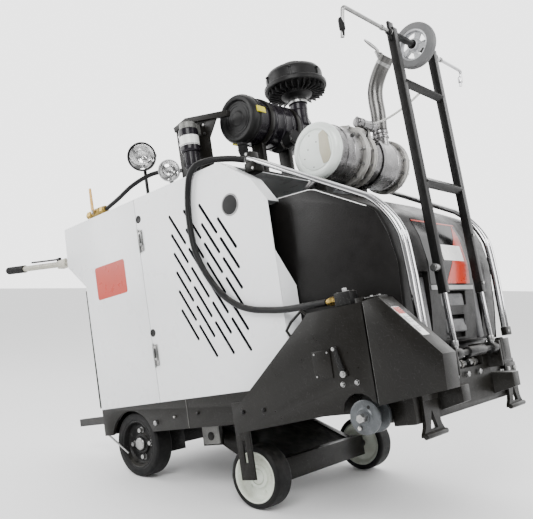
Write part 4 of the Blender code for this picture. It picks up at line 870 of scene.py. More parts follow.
for start, end, radius in ((-0.0450, -0.0320, 0.1105), (-0.0295, -0.0170, 0.1085), (0.0150, 0.0240, 0.1055),
                           (0.0260, 0.0348, 0.1055), (0.2450, 0.2570, 0.1035), (0.2590, 0.2695, 0.1035)):
    ring = [(0.088, start), (radius - 0.003, start), (radius, start + 0.002), (radius, end - 0.002)]
    ring += [(radius - 0.003, end), (0.088, end)]
    shapes.append((turned("y", can_place, rounded(ring, 0.001, 2), 96), cast_pale))
shapes.append((turned("y", can_place, rounded([(0, 0.256), (0.085, 0.266), (0.070, 0.2785), (0, 0.2785)],
                                              0.008, 4), 72), cap_cream))
for start, end, radius in ((-0.0525, -0.0150, 0.1035), (0.0130, 0.0360, 0.0990), (0.2410, 0.2720, 0.0975)):
    stud = bolt("y", (radius, 0, 0), 0.0052, start, start + 0.0075)
    nut = bolt("y", (radius, 0, 0), 0.0052, end - 0.0025, end + 0.0040)
    for mesh in (stud, nut):
        shapes.append((repeated(mesh, zinc, 12, can_place, (0, 0, 0), (0, math.radians(30.0), 0)), zinc))
for angle, reach in ((18, 0.052), (105, 0.058), (160, 0.030), (200, 0.050), (255, 0.057), (320, 0.034),
                     (70, 0.028)):
    spot = (CAN_U + reach * math.cos(math.radians(angle)), 0, CAN_V + reach * math.sin(math.radians(angle)))
    shapes.append((peg("y", spot, 0.0022, -0.2023, -0.2010, 0.0004, 12), black_plug))
edge = [(0.024, 0.050), (0.046, 0.058), (0.060, 0.034), (0.062, -0.030), (0.050, -0.052), (0.026, -0.056),
        (0.018, -0.010)]
shapes.append((slab("y", eased([(CAN_U + a, CAN_V + b) for a, b in edge], 0.004), -0.2028, -0.2008, 0.0004),
               label_tan))
shapes.append((block((0.985, 1.028), (-0.040, 0.012), (0.945, 1.012), 0.007, 3), cast_pale))
shapes.append((block((0.995, 1.014), (0.042, 0.073), (0.985, 1.027), 0.005, 3), cast_pale))
shapes.append((block((0.900, 0.990), (-0.034, -0.022), (1.020, 1.032), 0.004, 3), cast_pale))
tube = [(0, -0.0190), (0.015, -0.0190), (0.0185, -0.014), (0.0185, 0.002), (0.0165, 0.005), (0.0165, 0.078)]
tube += [(0.0185, 0.081), (0.0185, 0.095), (0.015, 0.0995), (0, 0.0995)]
shapes.append((turned("y", (1.015, 0, 1.035), rounded(tube, 0.002, 3), 40), stainless))
for y in (0.012, 0.068):
    shapes.append((collar("y", (1.015, 0, 1.035), 0.0165, 0.0189, y, y + 0.008, 0.001, 40), zinc))
for y in (-0.010, 0.086):
    shapes.append((bolt("v", (1.015, y, 0), 0.006, 1.0505, 1.0555), zinc))
for u, y, v in ((1.024, -0.012, 0.985), (1.024, -0.030, 0.960)):
    shapes.append((bolt("u", (0, y, v), 0.006, 1.026, 1.0325), zinc))
wire = [(1.018, 0.02, 1.018), (1.036, 0.01, 0.998), (1.034, -0.004, 0.968), (1.030, -0.02, 0.935),
        (1.020, -0.05, 0.905)]
shapes.append((swept(flowing(wire, 24), 0.0032, 10), black_rubber))
for u, y, v in ((1.0335, -0.095, 0.965), (1.0300, 0.070, 0.965)):
    arm = [(u - 0.004, y - 0.028, v - 0.012), (u, y - 0.008, v - 0.006), (u + 0.002, y + 0.010, v + 0.004),
           (u - 0.005, y + 0.024, v + 0.014)]
    shapes.append((swept(flowing(arm, 16), 0.0042, 10), dark_paint))
    shapes.append((bolt("u", (0, y, v), 0.007, u - 0.004, u + 0.0052), black_plug))
for y in (-0.13, 0.10):
    foot = [(0.897, 0.7565), (0.933, 0.7565), (0.931, 0.800), (0.934, 0.850), (0.898, 0.858), (0.901, 0.800)]
    shapes.append((slab("y", eased(foot, 0.004), y - 0.019, y + 0.019, 0.0012), black_coat))
    band = [(0.0962, y - 0.010), (0.0988, y - 0.010), (0.0988, y + 0.010), (0.0962, y + 0.010)]
    shapes.append((turned("y", can_place, band, 96), stainless))
riser = [(0, 0.9555), (0.026, 0.9555), (0.026, 1.008), (0.0305, 1.010), (0.0305, 1.018), (0.0265, 1.020),
         (0.0265, 1.026)]
riser += [(0.0305, 1.028), (0.0305, 1.038), (0.0265, 1.0412), (0, 1.0412)]
shapes.append((turned("v", (0.995, 0.175, 0), rounded(riser, 0.001, 2), 48), stainless))
pipe = [(0.88, 0.02, 0.90), (0.80, 0.02, 0.885), (0.735, 0.02, 0.85), (0.705, 0.02, 0.80),
        (0.700, 0.02, 0.765)]
shapes.append((swept(flowing(pipe, 30), 0.0315, 32), stainless))
elbow = [(0, 0.7460), (0.0395, 0.7460), (0.0395, 0.757), (0.0345, 0.760), (0.0395, 0.763)]
elbow += [(0.0395, 0.7775), (0, 0.7775)]
shapes.append((turned("v", (0.70, 0.02, 0), rounded(elbow, 0.001, 2), 40), cast_pale))
piece("canister_skin", shapes, "chassis", "exhaust_canister")

# Exhaust stack: a bent steel pipe clamped on the canister's riser, its open end rolled, a band clamp
# with a bolt holding the rain cap's hinge.
tube_steel = surface("tube_steel", (0.145, 0.142, 0.138), (0.075, 0.073, 0.070), (0.24, 0.38), metal=0.95,
                     grain=(420.0, 0.08), patches=8.0, amount=0.8, scratch=0.25)
stack_y = 0.175
stack_line = [(0.995, 1.0455), (1.000, 1.10), (1.000, 1.17), (1.010, 1.215), (1.038, 1.262), (1.0785, 1.305)]
run = flowing([(u, stack_y, v) for u, v in stack_line], 44)
inner = [run[-9] + (run[-1] - run[-9]) * k for k in (0.0, 0.5, 1.0, 1.15)]
shapes = [(combined(swept(run, 0.0285, 48), [swept(inner, 0.0262, 48)], "DIFFERENCE"), tube_steel)]
foot = [(0, 1.0458), (0.0288, 1.0458), (0.0288, 1.058), (0.0288, 1.058), (0, 1.058)]
shapes.append((turned("v", (0.9955, stack_y, 0), rounded(foot, 0.001, 2), 48), tube_steel))
way = (run[-1] - run[-6]).normalized()
middle = run[-1] - way * 0.030
shapes.append((swept([middle - way * 0.006, middle + way * 0.006], 0.0290, 48), zinc))
ear = [(-0.022, 0.0212), (-0.006, 0.0212), (0.004, 0.0430), (0.004, 0.0490), (-0.007, 0.0490)]
ear = [(1.0785 + 0.685 * a - 0.728 * b, 1.305 + 0.728 * a + 0.685 * b) for a, b in ear]
for y in (-0.018, 0.018):
    shapes.append((slab("y", ear, stack_y + y - 0.0015, stack_y + y + 0.0015, 0.0004), zinc))
piece("stack_skin", shapes, "chassis", "exhaust_stack")

# Rain cap: a pressed steel flap with a stiffening bead, its tongue and hinge pin, blown back open.
shapes = [(refined("rain_cap", 0.0006, 2), tube_steel)]
CAP_U, CAP_V = 1.045, 1.335
flap_way = Vector((-0.55, 0, 0.835)).normalized()
flap_over = Vector((flap_way.z, 0, -flap_way.x))
set_up = Matrix.Translation(Vector((CAP_U, stack_y, CAP_V)) + flap_way * 0.046) @ Matrix(
    (flap_way, (0, 1, 0), flap_over)).transposed().to_4x4()
bead = turned("v", (0, 0, 0), rounded([(0.020, 0.0034), (0.022, 0.0044), (0.024, 0.0034), (0.022, 0.0028)],
                                      0.0004, 2), 40)
bead.transform(set_up)
shapes.append((bead, tube_steel))
shapes.append((bolt("y", (CAP_U, 0, CAP_V), 0.0042, stack_y - 0.0165, stack_y - 0.0125), zinc))
piece("cap_skin", shapes, "cap", "rain_cap")

# Air cleaner: a glossy black moulded drum with ribs and an inlet neck, clamped in two steel straps;
# its end cover is held by yellow clips.
glossy = surface("glossy", (0.020, 0.017, 0.024), (0.036, 0.030, 0.040), (0.16, 0.30), coat=0.45,
                 grain=(700.0, 0.05),
                 patches=9.0, amount=0.7, dust=0.10)
satin = surface("satin", (0.020, 0.020, 0.021), (0.040, 0.039, 0.038), (0.34, 0.48), coat=0.08,
                grain=(800.0, 0.12),
                patches=14.0, amount=0.7, dust=0.16)
clip_yellow = surface("clip_yellow", (0.58, 0.50, 0.004), (0.50, 0.42, 0.004), (0.3, 0.42), coat=0.2,
                      patches=20.0)
CLEANER_U, CLEANER_V = 0.593, 1.172
cleaner = (CLEANER_U, 0, CLEANER_V)
drum = [(0, -0.1278), (0.0875, -0.1278), (0.0875, -0.118), (0.0860, -0.116)]
for y in (-0.03, 0.02, 0.07):
    drum += [(0.0870, y - 0.007), (0.0915, y - 0.0045), (0.0915, y + 0.0045), (0.0870, y + 0.007)]
drum += [(0.0872, 0.120), (0.0895, 0.123), (0.0895, 0.129), (0.0872, 0.132), (0.0875, 0.196),
         (0.074, 0.2115), (0, 0.2115)]
shapes = [(turned("y", cleaner, rounded(drum, 0.002, 3), 96), glossy)]
BOWL_U, BOWL_Y = 0.655, 0.155
neck = [(0, 1.18), (0.0355, 1.18), (0.0345, 1.215), (0.0345, 1.240), (0.0360, 1.244), (0.0360, 1.2675),
        (0, 1.2675)]
shapes.append((turned("v", (BOWL_U, BOWL_Y, 0), rounded(neck, 0.002, 3), 48), glossy))
shapes.append((swept(flowing([(0.585, 0.045, 1.10), (0.62, 0.045, 1.10), (0.66, 0.045, 1.10),
                              (0.699, 0.045, 1.10)], 12), 0.0295, 32), black_rubber))
for u in (0.640, 0.688):
    shapes.append((collar("u", (0, 0.045, 1.10), 0.0280, 0.0299, u, u + 0.009, 0.0008, 40), zinc))
for angle in (20, 65, 110):
    rib = block((0.0855, 0.0905), (-0.112, -0.036), (-0.0016, 0.0016), 0.0012)
    rib.transform(Matrix.Translation(cleaner) @ Matrix.Rotation(math.radians(-angle), 4, "Y"))
    shapes.append((rib, glossy))
piece("cleaner_skin", shapes, "chassis", "air_cleaner")

lid = [(0, -0.1690), (0.026, -0.1690), (0.030, -0.1655), (0.066, -0.1655), (0.070, -0.1740),
       (0.0780, -0.1757)]
lid += [(0.0850, -0.1757), (0.0900, -0.1680), (0.0938, -0.158), (0.0938, -0.146), (0.0915, -0.144),
        (0.0915, -0.138)]
lid += [(0.0938, -0.136), (0.0938, -0.1288), (0, -0.1288)]
shapes = [(turned("y", cleaner, rounded(lid, 0.0022, 3), 96), satin)]
for reach, width in ((0.048, 0.0012), (0.058, 0.0012)):
    ring = [(reach, -0.1668), (reach + width, -0.1668), (reach + width, -0.1650), (reach, -0.1650)]
    shapes.append((turned("y", cleaner, ring, 72), satin))
notch = block((0.0905, 0.0938), (-0.1575, -0.1470), (-0.0022, 0.0022), 0.0006)
shapes.append((repeated(notch, satin, 36, cleaner, (0, 0, 0), (0, math.radians(10.0), 0)), satin))
shapes.append((turned("v", (CLEANER_U - 0.01, -0.148, 0),
                      rounded([(0, 1.0703), (0.0180, 1.0703), (0.0195, 1.074), (0.0195, 1.108), (0, 1.108)],
                              0.001, 2), 36), satin))
for angle in (55, 175, 295):
    hook = block((-0.0118, 0.0118), (-0.1490, -0.1122), (0.0948, 0.0997), 0.0018, 3)
    nose_bit = block((-0.0118, 0.0118), (-0.1578, -0.1465), (0.0860, 0.0997), 0.0018, 3)
    groove = block((-0.0080, -0.0060), (-0.1480, -0.1130), (0.0980, 0.0999), 0.0004)
    for mesh in (hook, nose_bit, groove):
        mesh.transform(Matrix.Translation(cleaner) @ Matrix.Rotation(math.radians(angle - 90), 4, "Y"))
        shapes.append((mesh, clip_yellow))
piece("cleaner_lid", shapes, "chassis", "air_cleaner_cover")

sleeve = [(0, 1.0694), (0.0185, 1.0694), (0.0195, 1.066), (0.0188, 1.060), (0.0205, 1.056), (0.0190, 1.048),
          (0.0160, 1.038)]
sleeve += [(0.0155, 1.030), (0.0185, 1.016), (0.0180, 1.0095), (0.0090, 1.0085), (0, 1.0110)]
piece("valve_rubber", [(turned("v", (CLEANER_U - 0.01, -0.148, 0), rounded(sleeve, 0.0012, 3), 36),
                        black_rubber)],
      "chassis", "dust_valve")

# Precleaner: a black moulded bowl on a banded neck, with thirty vanes under its rim and six upright
# clips round it.
bowl_place = (BOWL_U, BOWL_Y, 0)
bowl = [(0, 1.2690), (0.0390, 1.2690), (0.0390, 1.292), (0.046, 1.298), (0.062, 1.304), (0.0700, 1.318),
        (0.110, 1.3300)]
bowl += [(0.1275, 1.3320), (0.1295, 1.3350), (0.1295, 1.3490), (0.1270, 1.3520), (0.1185, 1.3545),
         (0.1175, 1.358)]
bowl += [(0.1175, 1.388), (0.1150, 1.397), (0.105, 1.4105), (0.062, 1.4190), (0.056, 1.424), (0.053, 1.4375),
         (0, 1.4395)]
shapes = [(turned("v", bowl_place, rounded(bowl, 0.003, 3), 112), satin)]
vane = block((0.062, 0.119), (-0.0012, 0.0012), (1.3085, 1.333), 0.0005)
shapes.append((repeated(vane, satin, 30, bowl_place, (0, 0, 0), (0, 0, math.radians(12.0))), satin))
grip_clip = block((0.1170, 0.1212), (-0.0042, 0.0042), (1.3450, 1.3900), 0.0014, 3)
sixth = (0, 0, math.radians(60.0))
shapes.append((repeated(grip_clip, black_plug, 6, bowl_place, (0, 0, 0), sixth), black_plug))
grip_head = block((0.1165, 0.1245), (-0.0055, 0.0055), (1.3830, 1.3895), 0.0014, 3)
shapes.append((repeated(grip_head, black_plug, 6, bowl_place, (0, 0, 0), sixth), black_plug))
shapes.append((collar("v", bowl_place, 0.0380, 0.0398, 1.2715, 1.2825, 0.0008, 40), zinc))
piece("bowl_skin", shapes, "chassis", "precleaner")

# Filter bracket: folded black plate on the hood, an upright with a top bar and two steel straps round
# the air cleaner, bolted through.
shapes = [(refined("filter_bracket", 0.0010, 2, 30.0), black_coat)]
for u, y in ((0.330, -0.200), (0.630, -0.200), (0.330, 0.110), (0.630, 0.110), (0.500, -0.205)):
    shapes.append((bolt("v", (u, y, 0), 0.0065, HOOD + 0.0080, HOOD + 0.0130), zinc))
for v in (1.184, 1.150, 0.985):
    for u in (0.322, 0.462):
        shapes.append((bolt("y", (u, 0, v), 0.0055, -0.2215, -0.2155), zinc))
gusset = [(0.468, 1.190), (0.480, 1.196), (0.540, 1.186), (0.480, 1.110)]
shapes.append((slab("y", gusset, -0.2225, -0.2185, 0.0006), black_coat))
piece("bracket_skin", shapes, "chassis", "filter_bracket", keen=40.0)

# Fuel filter: a black painted can with a white printed band, a clear-bottomed bowl and a drain cock,
# hung on its head casting.
can = [(0, 1.0790), (0.0330, 1.0790), (0.0368, 1.083), (0.0378, 1.089), (0.0378, 1.164), (0.0368, 1.170),
       (0, 1.170)]
shapes = [(turned("v", (0.418, -0.262, 0), rounded(can, 0.0015, 3), 56), glossy)]
band = [(0.0377, 1.103), (0.03795, 1.1032), (0.03795, 1.141), (0.0377, 1.1412)]
shapes.append((turned("v", (0.418, -0.262, 0), band, 72), white_film_and_highlight))
stripe = [(0.0379, 1.1040), (0.03800, 1.1042), (0.03800, 1.1085), (0.0379, 1.1087)]
shapes.append((turned("v", (0.418, -0.262, 0), stripe, 72), film_grey))
bowl = [(0, 1.0035), (0.0095, 1.0035), (0.0100, 1.011), (0.0270, 1.017), (0.0308, 1.024), (0.0322, 1.078),
        (0, 1.0795)]
shapes.append((turned("v", (0.418, -0.262, 0), rounded(bowl, 0.0025, 4), 56), glossy))
rib = block((0.0300, 0.0326), (-0.0016, 0.0016), (1.028, 1.076), 0.0006)
shapes.append((repeated(rib, satin, 16, (0.418, -0.262, 0), (0, 0, 0), (0, 0, math.radians(22.5))), satin))
head = [(0, 1.1700), (0.0325, 1.1700), (0.0325, 1.194), (0.0300, 1.1958), (0, 1.1958)]
shapes.append((turned("v", (0.418, -0.262, 0), rounded(head, 0.0015, 3), 48), worn_grey))
shapes.append((block((0.393, 0.443), (-0.262, -0.2170), (1.1510, 1.1915), 0.0025, 3), worn_grey))
for u in (0.401, 0.435):
    shapes.append((bolt("v", (u, -0.230, 0), 0.0050, 1.1908, 1.1955), zinc))
piece("fuel_can", shapes, "chassis", "fuel_filter")

# Work lamps: black die-cast housings with a bright stepped reflector behind a clear lens, each on a
# stem and a bent bracket bolted to the hood; the front one has a pale clear-backed shell.
lens_clear = bpy.data.materials.new("lens_clear")
lens_clear.use_nodes = True
glass = lens_clear.node_tree.nodes["Principled BSDF"]
glass.inputs["Roughness"].default_value = 0.04
glass.inputs["IOR"].default_value = 1.49
glass.inputs["Transmission Weight"].default_value = 1.0
ripple = lens_clear.node_tree.nodes.new("ShaderNodeTexNoise")
ripple.inputs["Scale"].default_value = 160.0
lens_place = lens_clear.node_tree.nodes.new("ShaderNodeTexCoord")
lens_clear.node_tree.links.new(lens_place.outputs["Object"], ripple.inputs["Vector"])
lens_bump = lens_clear.node_tree.nodes.new("ShaderNodeBump")
lens_bump.inputs["Strength"].default_value = 0.06
lens_bump.inputs["Distance"].default_value = 0.001
lens_clear.node_tree.links.new(ripple.outputs["Fac"], lens_bump.inputs["Height"])
lens_clear.node_tree.links.new(lens_bump.outputs["Normal"], glass.inputs["Normal"])
reflector = surface("reflector", (0.90, 0.90, 0.90), (0.80, 0.80, 0.80), (0.03, 0.10), metal=1.0,
                    grain=(300.0, 0.03))


def work_lamp(name, body, place, radius, depth, housing, face):
    """A round lamp on its stem; its face looks along +v before it is turned to the near side."""
    facing = Vector((0.63, -0.765, -0.13)).normalized()
    over = facing.cross(Vector((0, 0, 1))).normalized()
    aim = Matrix.Translation(place) @ Matrix((over, facing.cross(over) * -1, facing)).transposed().to_4x4()
    shade = [(0, -depth), (radius * 0.30, -depth), (radius * 0.55, -depth * 0.96),
             (radius * 0.80, -depth * 0.72)]
    shade += [(radius * 0.95, -depth * 0.42), (radius * 0.985, -depth * 0.16), (radius * 0.985, 0.0030),
              (radius * 0.93, 0.0036)]
    shade += [(radius * 0.88, 0.0010), (radius * 0.86, -0.0040), (radius * 0.60, -depth * 0.50),
              (0, -depth * 0.66)]
    found = [(turned("v", (0, 0, 0), rounded(shade, 0.002, 3), 72), housing)]
    cup = [(0, -depth * 0.60), (radius * 0.34, -depth * 0.54), (radius * 0.60, -depth * 0.42),
           (radius * 0.85, -0.0044)]
    cup += [(radius * 0.87, -0.0030), (radius * 0.60, -depth * 0.46), (0, -depth * 0.64)]
    found.append((turned("v", (0, 0, 0), cup, 72), reflector))
    bulb = [(0, -depth * 0.58), (radius * 0.13, -depth * 0.54), (radius * 0.13, -depth * 0.30),
            (0, -depth * 0.22)]
    found.append((turned("v", (0, 0, 0), rounded(bulb, 0.003, 3), 24), face))
    lens = [(0, -0.0012), (radius * 0.87, -0.0020), (radius * 0.87, 0.0004), (radius * 0.5, 0.0026),
            (0, 0.0034)]
    found.append((turned("v", (0, 0, 0), lens, 72), lens_clear))
    fin = block((radius * 0.30, radius * 0.82), (-0.0009, 0.0009), (-depth * 0.97, -depth * 0.70), 0.0004)
    found.append((repeated(fin, housing, 14, (0, 0, 0), (0, 0, 0), (0, 0, 2 * math.pi / 14)), housing))
    for side in (-1, 1):
        found.append((peg("u", (0, 0, -depth * 0.35), radius * 0.10,
                          *mirrored((radius * 0.86, radius * 0.998), side)), zinc))
    for mesh, _ in found:
        mesh.transform(aim)
    back_end = Vector(place) - facing * depth * 0.7
    top = place[2] - radius * 0.2
    found.append((peg("v", (back_end.x, back_end.y, 0), 0.0068, HOOD + 0.0066, top), dark_paint))
    found.append((collar("v", (back_end.x, back_end.y, 0), 0, 0.0158, HOOD + 0.0008, HOOD + 0.0078, 0.001,
                         36), dark_paint))
    found.append((bolt("v", (back_end.x, back_end.y, 0), 0.0105, HOOD + 0.0076, HOOD + 0.0136), zinc))
    found.append((bolt("v", (back_end.x, back_end.y, 0), 0.0100, top - 0.030, top - 0.022), zinc))
    piece(name, found, body, {"lamp_rear": "work_lamp_rear", "lamp_front": "work_lamp_front"}[body])


work_lamp("rear_lamp", "lamp_rear", (0.139, -0.270, 1.155), 0.060, 0.055, satin, reflector)
work_lamp("front_lamp", "lamp_front", (0.322, -0.300, 1.035), 0.043, 0.045, film_grey, reflector)

# Water valve: a brass ball valve with hexagon ends on a short stand-pipe through the hood; its yellow
# dipped steel lever turns a quarter round on a grey stem with a nut.
brass = surface("brass", (0.38, 0.26, 0.07), (0.20, 0.14, 0.045), (0.22, 0.4), metal=0.9, grain=(500.0, 0.12),
                patches=30.0, amount=0.8, dust=0.2)
dipped_yellow = surface("dipped_yellow", (0.52, 0.27, 0.004), (0.40, 0.20, 0.004), (0.26, 0.4), coat=0.3,
                        patches=18.0)
VALVE_U = -0.115
shapes = []
tube = [(0, -0.1848), (0.0128, -0.1848), (0.0138, -0.182), (0.0138, -0.1765), (0.0120, -0.1745),
        (0.0120, -0.148)]
tube += [(0.0180, -0.140), (0.0182, -0.094), (0.0120, -0.087), (0.0120, -0.063), (0.0138, -0.061),
         (0.0138, -0.0560), (0, -0.0560)]
shapes.append((turned("u", (0, VALVE_Y, VALVE_V), rounded(tube, 0.0015, 3), 40), brass))
for start, end in ((-0.1748, -0.1504), (-0.0848, -0.0624)):
    shapes.append((bolt("u", (0, VALVE_Y, VALVE_V), 0.0188, start, end, 0.3), brass))
for u in (-0.1800, -0.0600):
    shapes.append((turned("u", (0, VALVE_Y, VALVE_V),
                          [(0.0134, u - 0.0010), (0.0139, u), (0.0134, u + 0.0010)], 40), brass))
stem = [(0, VALVE_Y - 0.0198), (0.0090, VALVE_Y - 0.0198), (0.0100, VALVE_Y - 0.0150),
        (0.0160, VALVE_Y - 0.0120), (0.0188, VALVE_Y - 0.002)]
stem += [(0.0188, VALVE_Y + 0.012), (0, VALVE_Y + 0.0138)]
shapes.append((turned("y", (VALVE_U - 0.004, 0, VALVE_V), rounded(stem, 0.001, 2), 36), brass))
shapes.append((peg("v", (-0.165, VALVE_Y, 0), 0.0118, HOOD + 0.0008, VALVE_V - 0.006), brass))
shapes.append((bolt("v", (-0.165, VALVE_Y, 0), 0.0170, HOOD + 0.0010, HOOD + 0.0110), zinc))
piece("valve_brass", shapes, "chassis", "valve_body")
lever = [(VALVE_U - 0.013, VALVE_V - 0.0075), (VALVE_U + 0.005, VALVE_V - 0.0075),
         (VALVE_U + 0.005, VALVE_V + 0.030)]
lever += [(VALVE_U + 0.003, VALVE_V + 0.104), (VALVE_U - 0.011, VALVE_V + 0.104),
          (VALVE_U - 0.013, VALVE_V + 0.030)]
shapes = [(slab("y", eased(lever, 0.006), VALVE_Y - 0.0264, VALVE_Y - 0.0226, 0.0009, 3), dipped_yellow)]
groove = [(VALVE_U - 0.007, VALVE_V + 0.034), (VALVE_U - 0.001, VALVE_V + 0.034)]
groove += [(VALVE_U - 0.002, VALVE_V + 0.096), (VALVE_U - 0.006, VALVE_V + 0.096)]
shapes.append((slab("y", eased(groove, 0.002), VALVE_Y - 0.0270, VALVE_Y - 0.0262, 0.0004), dipped_yellow))
shapes.append((peg("y", (VALVE_U - 0.004, 0, VALVE_V), 0.0088, VALVE_Y - 0.0268, VALVE_Y - 0.0206),
               worn_grey))
shapes.append((bolt("y", (VALVE_U - 0.004, 0, VALVE_V), 0.0068, VALVE_Y - 0.0262, VALVE_Y - 0.0300), zinc))
piece("valve_lever_skin", shapes, "valve_lever", "valve_handle")

# Blade guard: two folded black steel boxes hinged at the seam, with a bright hinge strap, a plain
# label on the front slope, a latch plate and bolts; a thin lighter grey line along the edges is a painted
# highlight.
guard_black = surface("guard_black", (0.0125, 0.0115, 0.0095), (0.020, 0.018, 0.015), (0.26, 0.40), coat=0.15,
                      grain=(900.0, 0.09), patches=6.0, amount=0.8, scratch=0.10, dust=0.10)
# Lighter grey for the lines along the guard's edges: a painted highlight for the light the folded edges
# catch.
painted_edge_highlight = surface("painted_edge_highlight", (0.20, 0.20, 0.19), (0.09, 0.09, 0.085), (0.3, 0.45), metal=0.3,
                    patches=26.0, amount=0.9)


# A thin lighter tube laid along an edge of the guard, a painted highlight.
def edge_highlight_line(points, y, radius=0.0011):
    return swept(bends([(u, y, v) for u, v in points], 0.004, 3), radius, 8), painted_edge_highlight


shapes = [(refined("guard_rear", 0.0016, 3, 30.0), guard_black)]
rear_edge = [(0.647, 0.030), (0.647, 0.093), (0.735, 0.1565), (1.0075, 0.3585), (1.1760, 0.3585)]
shapes.append(edge_highlight_line(rear_edge, -0.4679))
shapes.append((block((1.004, 1.067), (-0.4738, -0.4690), (0.162, 0.244), 0.0018, 3), guard_black))
for u, v in ((1.012, 0.236), (1.059, 0.236), (1.012, 0.170)):
    shapes.append((peg("y", (u, 0, v), 0.0030, -0.4750, -0.4735), zinc))
for u, v in ((1.095, 0.139), (1.144, 0.140)):
    shapes.append((bolt("y", (u, 0, v), 0.0066, -0.4685, -0.4750, 0.4), zinc))
    shapes.append((peg("y", (u, 0, v), 0.0082, -0.4702, -0.4685), zinc))
for u in (0.690, 0.780):
    shapes.append((bolt("y", (u, 0, 0.090), 0.0075, -0.4685, -0.4740, 0.2), black_plug))
piece("guard_back", shapes, "chassis", "guard_rear", keen=40.0)

shapes = [(refined("guard_front", 0.0016, 3, 30.0), guard_black)]
front_edge = [(1.2060, 0.3595), (1.2555, 0.3625), (1.4155, 0.1855), (1.4118, 0.0960)]
shapes.append(edge_highlight_line(front_edge, -0.4679))
shapes.append(edge_highlight_line([(1.2045, 0.075), (1.2045, 0.3560)], -0.4683, 0.0008))
shapes.append((slab("v", eased([(1.2035, -0.4535), (1.2490, -0.4535), (1.2490, -0.4065), (1.2035, -0.4065)],
                               0.004), 0.3662, 0.3708, 0.0006), zinc))
for y in (-0.447, -0.430, -0.413):
    shapes.append((collar("y", (1.2005, 0, 0.3680), 0.0038, 0.0050, y - 0.0075, y + 0.0075, 0.0004, 24),
                   zinc))
for u, y in ((1.222, -0.446), (1.238, -0.430), (1.222, -0.414)):
    shapes.append((bolt("v", (u, y, 0), 0.0050, 0.3705, 0.3748), zinc))


def on_slope(y, t, lift):
    """A point on the front slope: t runs from its top edge to its bottom edge."""
    rise = Vector((0.178, 0.0, 0.161)).normalized()
    spot = Vector((1.2560, y, 0.3640)).lerp(Vector((1.4170, y, 0.1860)), t) + rise * lift
    return (spot.x, spot.y, spot.z)


for rows, low, high, top, sheet in (
    ((-0.462, -0.425), 0.19, 0.69, 0.0012, white_film_and_highlight),
    ((-0.4605, -0.4265), 0.20, 0.32, 0.0015, orange_film),
    ((-0.4590, -0.4480), 0.36, 0.47, 0.0015, film_grey),
    ((-0.4440, -0.4280), 0.37, 0.385, 0.0015, film_grey),
    ((-0.4440, -0.4280), 0.41, 0.425, 0.0015, film_grey),
    ((-0.4440, -0.4300), 0.45, 0.465, 0.0015, film_grey),
    ((-0.4590, -0.4480), 0.52, 0.63, 0.0015, film_grey),
    ((-0.4440, -0.4280), 0.53, 0.545, 0.0015, film_grey),
    ((-0.4440, -0.4300), 0.57, 0.585, 0.0015, film_grey),
):
    corners = [on_slope(y, t, lift) for lift in (-0.0004, top) for y, t in
               ((rows[0], low), (rows[1], low), (rows[1], high), (rows[0], high))]
    faces = [(0, 3, 2, 1), (4, 5, 6, 7), (0, 1, 5, 4), (1, 2, 6, 5), (2, 3, 7, 6), (3, 0, 4, 7)]
    shapes.append((shaped(corners, faces), sheet))
piece("guard_nose", shapes, "guard_flap", "guard_front", keen=40.0)

# Guard latch: a short flat lever on a shouldered screw, with a small knob at its end.
lever = [(1.0985, 0.160), (1.1165, 0.160), (1.1140, 0.178), (1.0965, 0.2500), (1.0825, 0.2500)]
lever += [(1.0970, 0.176)]
shapes = [(slab("y", eased(lever, 0.004), -0.4800, -0.4756, 0.0009, 3), dark_paint)]
shapes.append((collar("y", (1.1075, 0, 0.168), 0, 0.0098, -0.4750, -0.4810, 0.001, 32), zinc))
shapes.append((bolt("y", (1.1075, 0, 0.168), 0.0062, -0.4806, -0.4840, 0.5), zinc))
shapes.append((peg("y", (1.0895, 0, 0.243), 0.0058, -0.4858, -0.4760, 0.0015), zinc))
piece("latch_bar", shapes, "guard_lever", "guard_latch", keen=40.0)

# Guard water valve: a black block on the guard's crown taking the hose's brass tail, with a bleed
# screw on top.
shapes = [(block((1.1005, 1.1575), (-0.4545, -0.4135), (0.3608, 0.4015), 0.003, 3), dark_paint)]
for u in (1.110, 1.148):
    for y in (-0.4455, -0.4225):
        shapes.append((peg("v", (u, y, 0), 0.0032, 0.4005, 0.4028), zinc))
tail = [(0, 1.0622), (0.0095, 1.0622), (0.0103, 1.0640), (0.0103, 1.0720), (0.0095, 1.0735),
        (0.0095, 1.1040), (0, 1.1040)]
shapes.append((turned("u", (0, -0.4335, 0.383), rounded(tail, 0.0008, 2), 32), brass))
shapes.append((bolt("u", (0, -0.4335, 0.383), 0.0143, 1.0725, 1.0895, 0.3), brass))
shapes.append((bolt("v", (1.128, -0.434, 0), 0.0079, 0.4010, 0.4135), zinc))
piece("valve_block", shapes, "chassis", "guard_valve")

# Blade shaft: a ground steel arbor with its pulley collar in the middle and the spare flange pair on
# the far end, and the near pair with the drive pin and a large hexagon bolt.
ground_steel = surface("ground_steel", (0.60, 0.59, 0.57), (0.36, 0.35, 0.34), (0.18, 0.34), metal=0.95,
                       grain=(380.0, 0.14), patches=26.0, amount=0.8, scratch=0.3)
SHAFT_U, SHAFT_V = 1.148, 0.040
arbor = (SHAFT_U, 0, SHAFT_V)
turned_line = [(0, -0.3985), (0.0205, -0.3985), (0.0218, -0.396), (0.0218, -0.062), (0.0358, -0.060)]
for groove in range(5):
    y = -0.052 + 0.024 * groove
    turned_line += [(0.0358, y - 0.002), (0.0290, y + 0.004), (0.0290, y + 0.008), (0.0358, y + 0.014)]
turned_line += [(0.0358, 0.060), (0.0218, 0.062), (0.0218, 0.400), (0.0498, 0.4005), (0.0498, 0.4118),
                (0.0240, 0.413)]
turned_line += [(0.0240, 0.451), (0.0498, 0.4522), (0.0498, 0.4618), (0.0130, 0.463), (0, 0.463)]
shapes = [(turned("y", arbor, rounded(turned_line, 0.0012, 2), 72), ground_steel)]
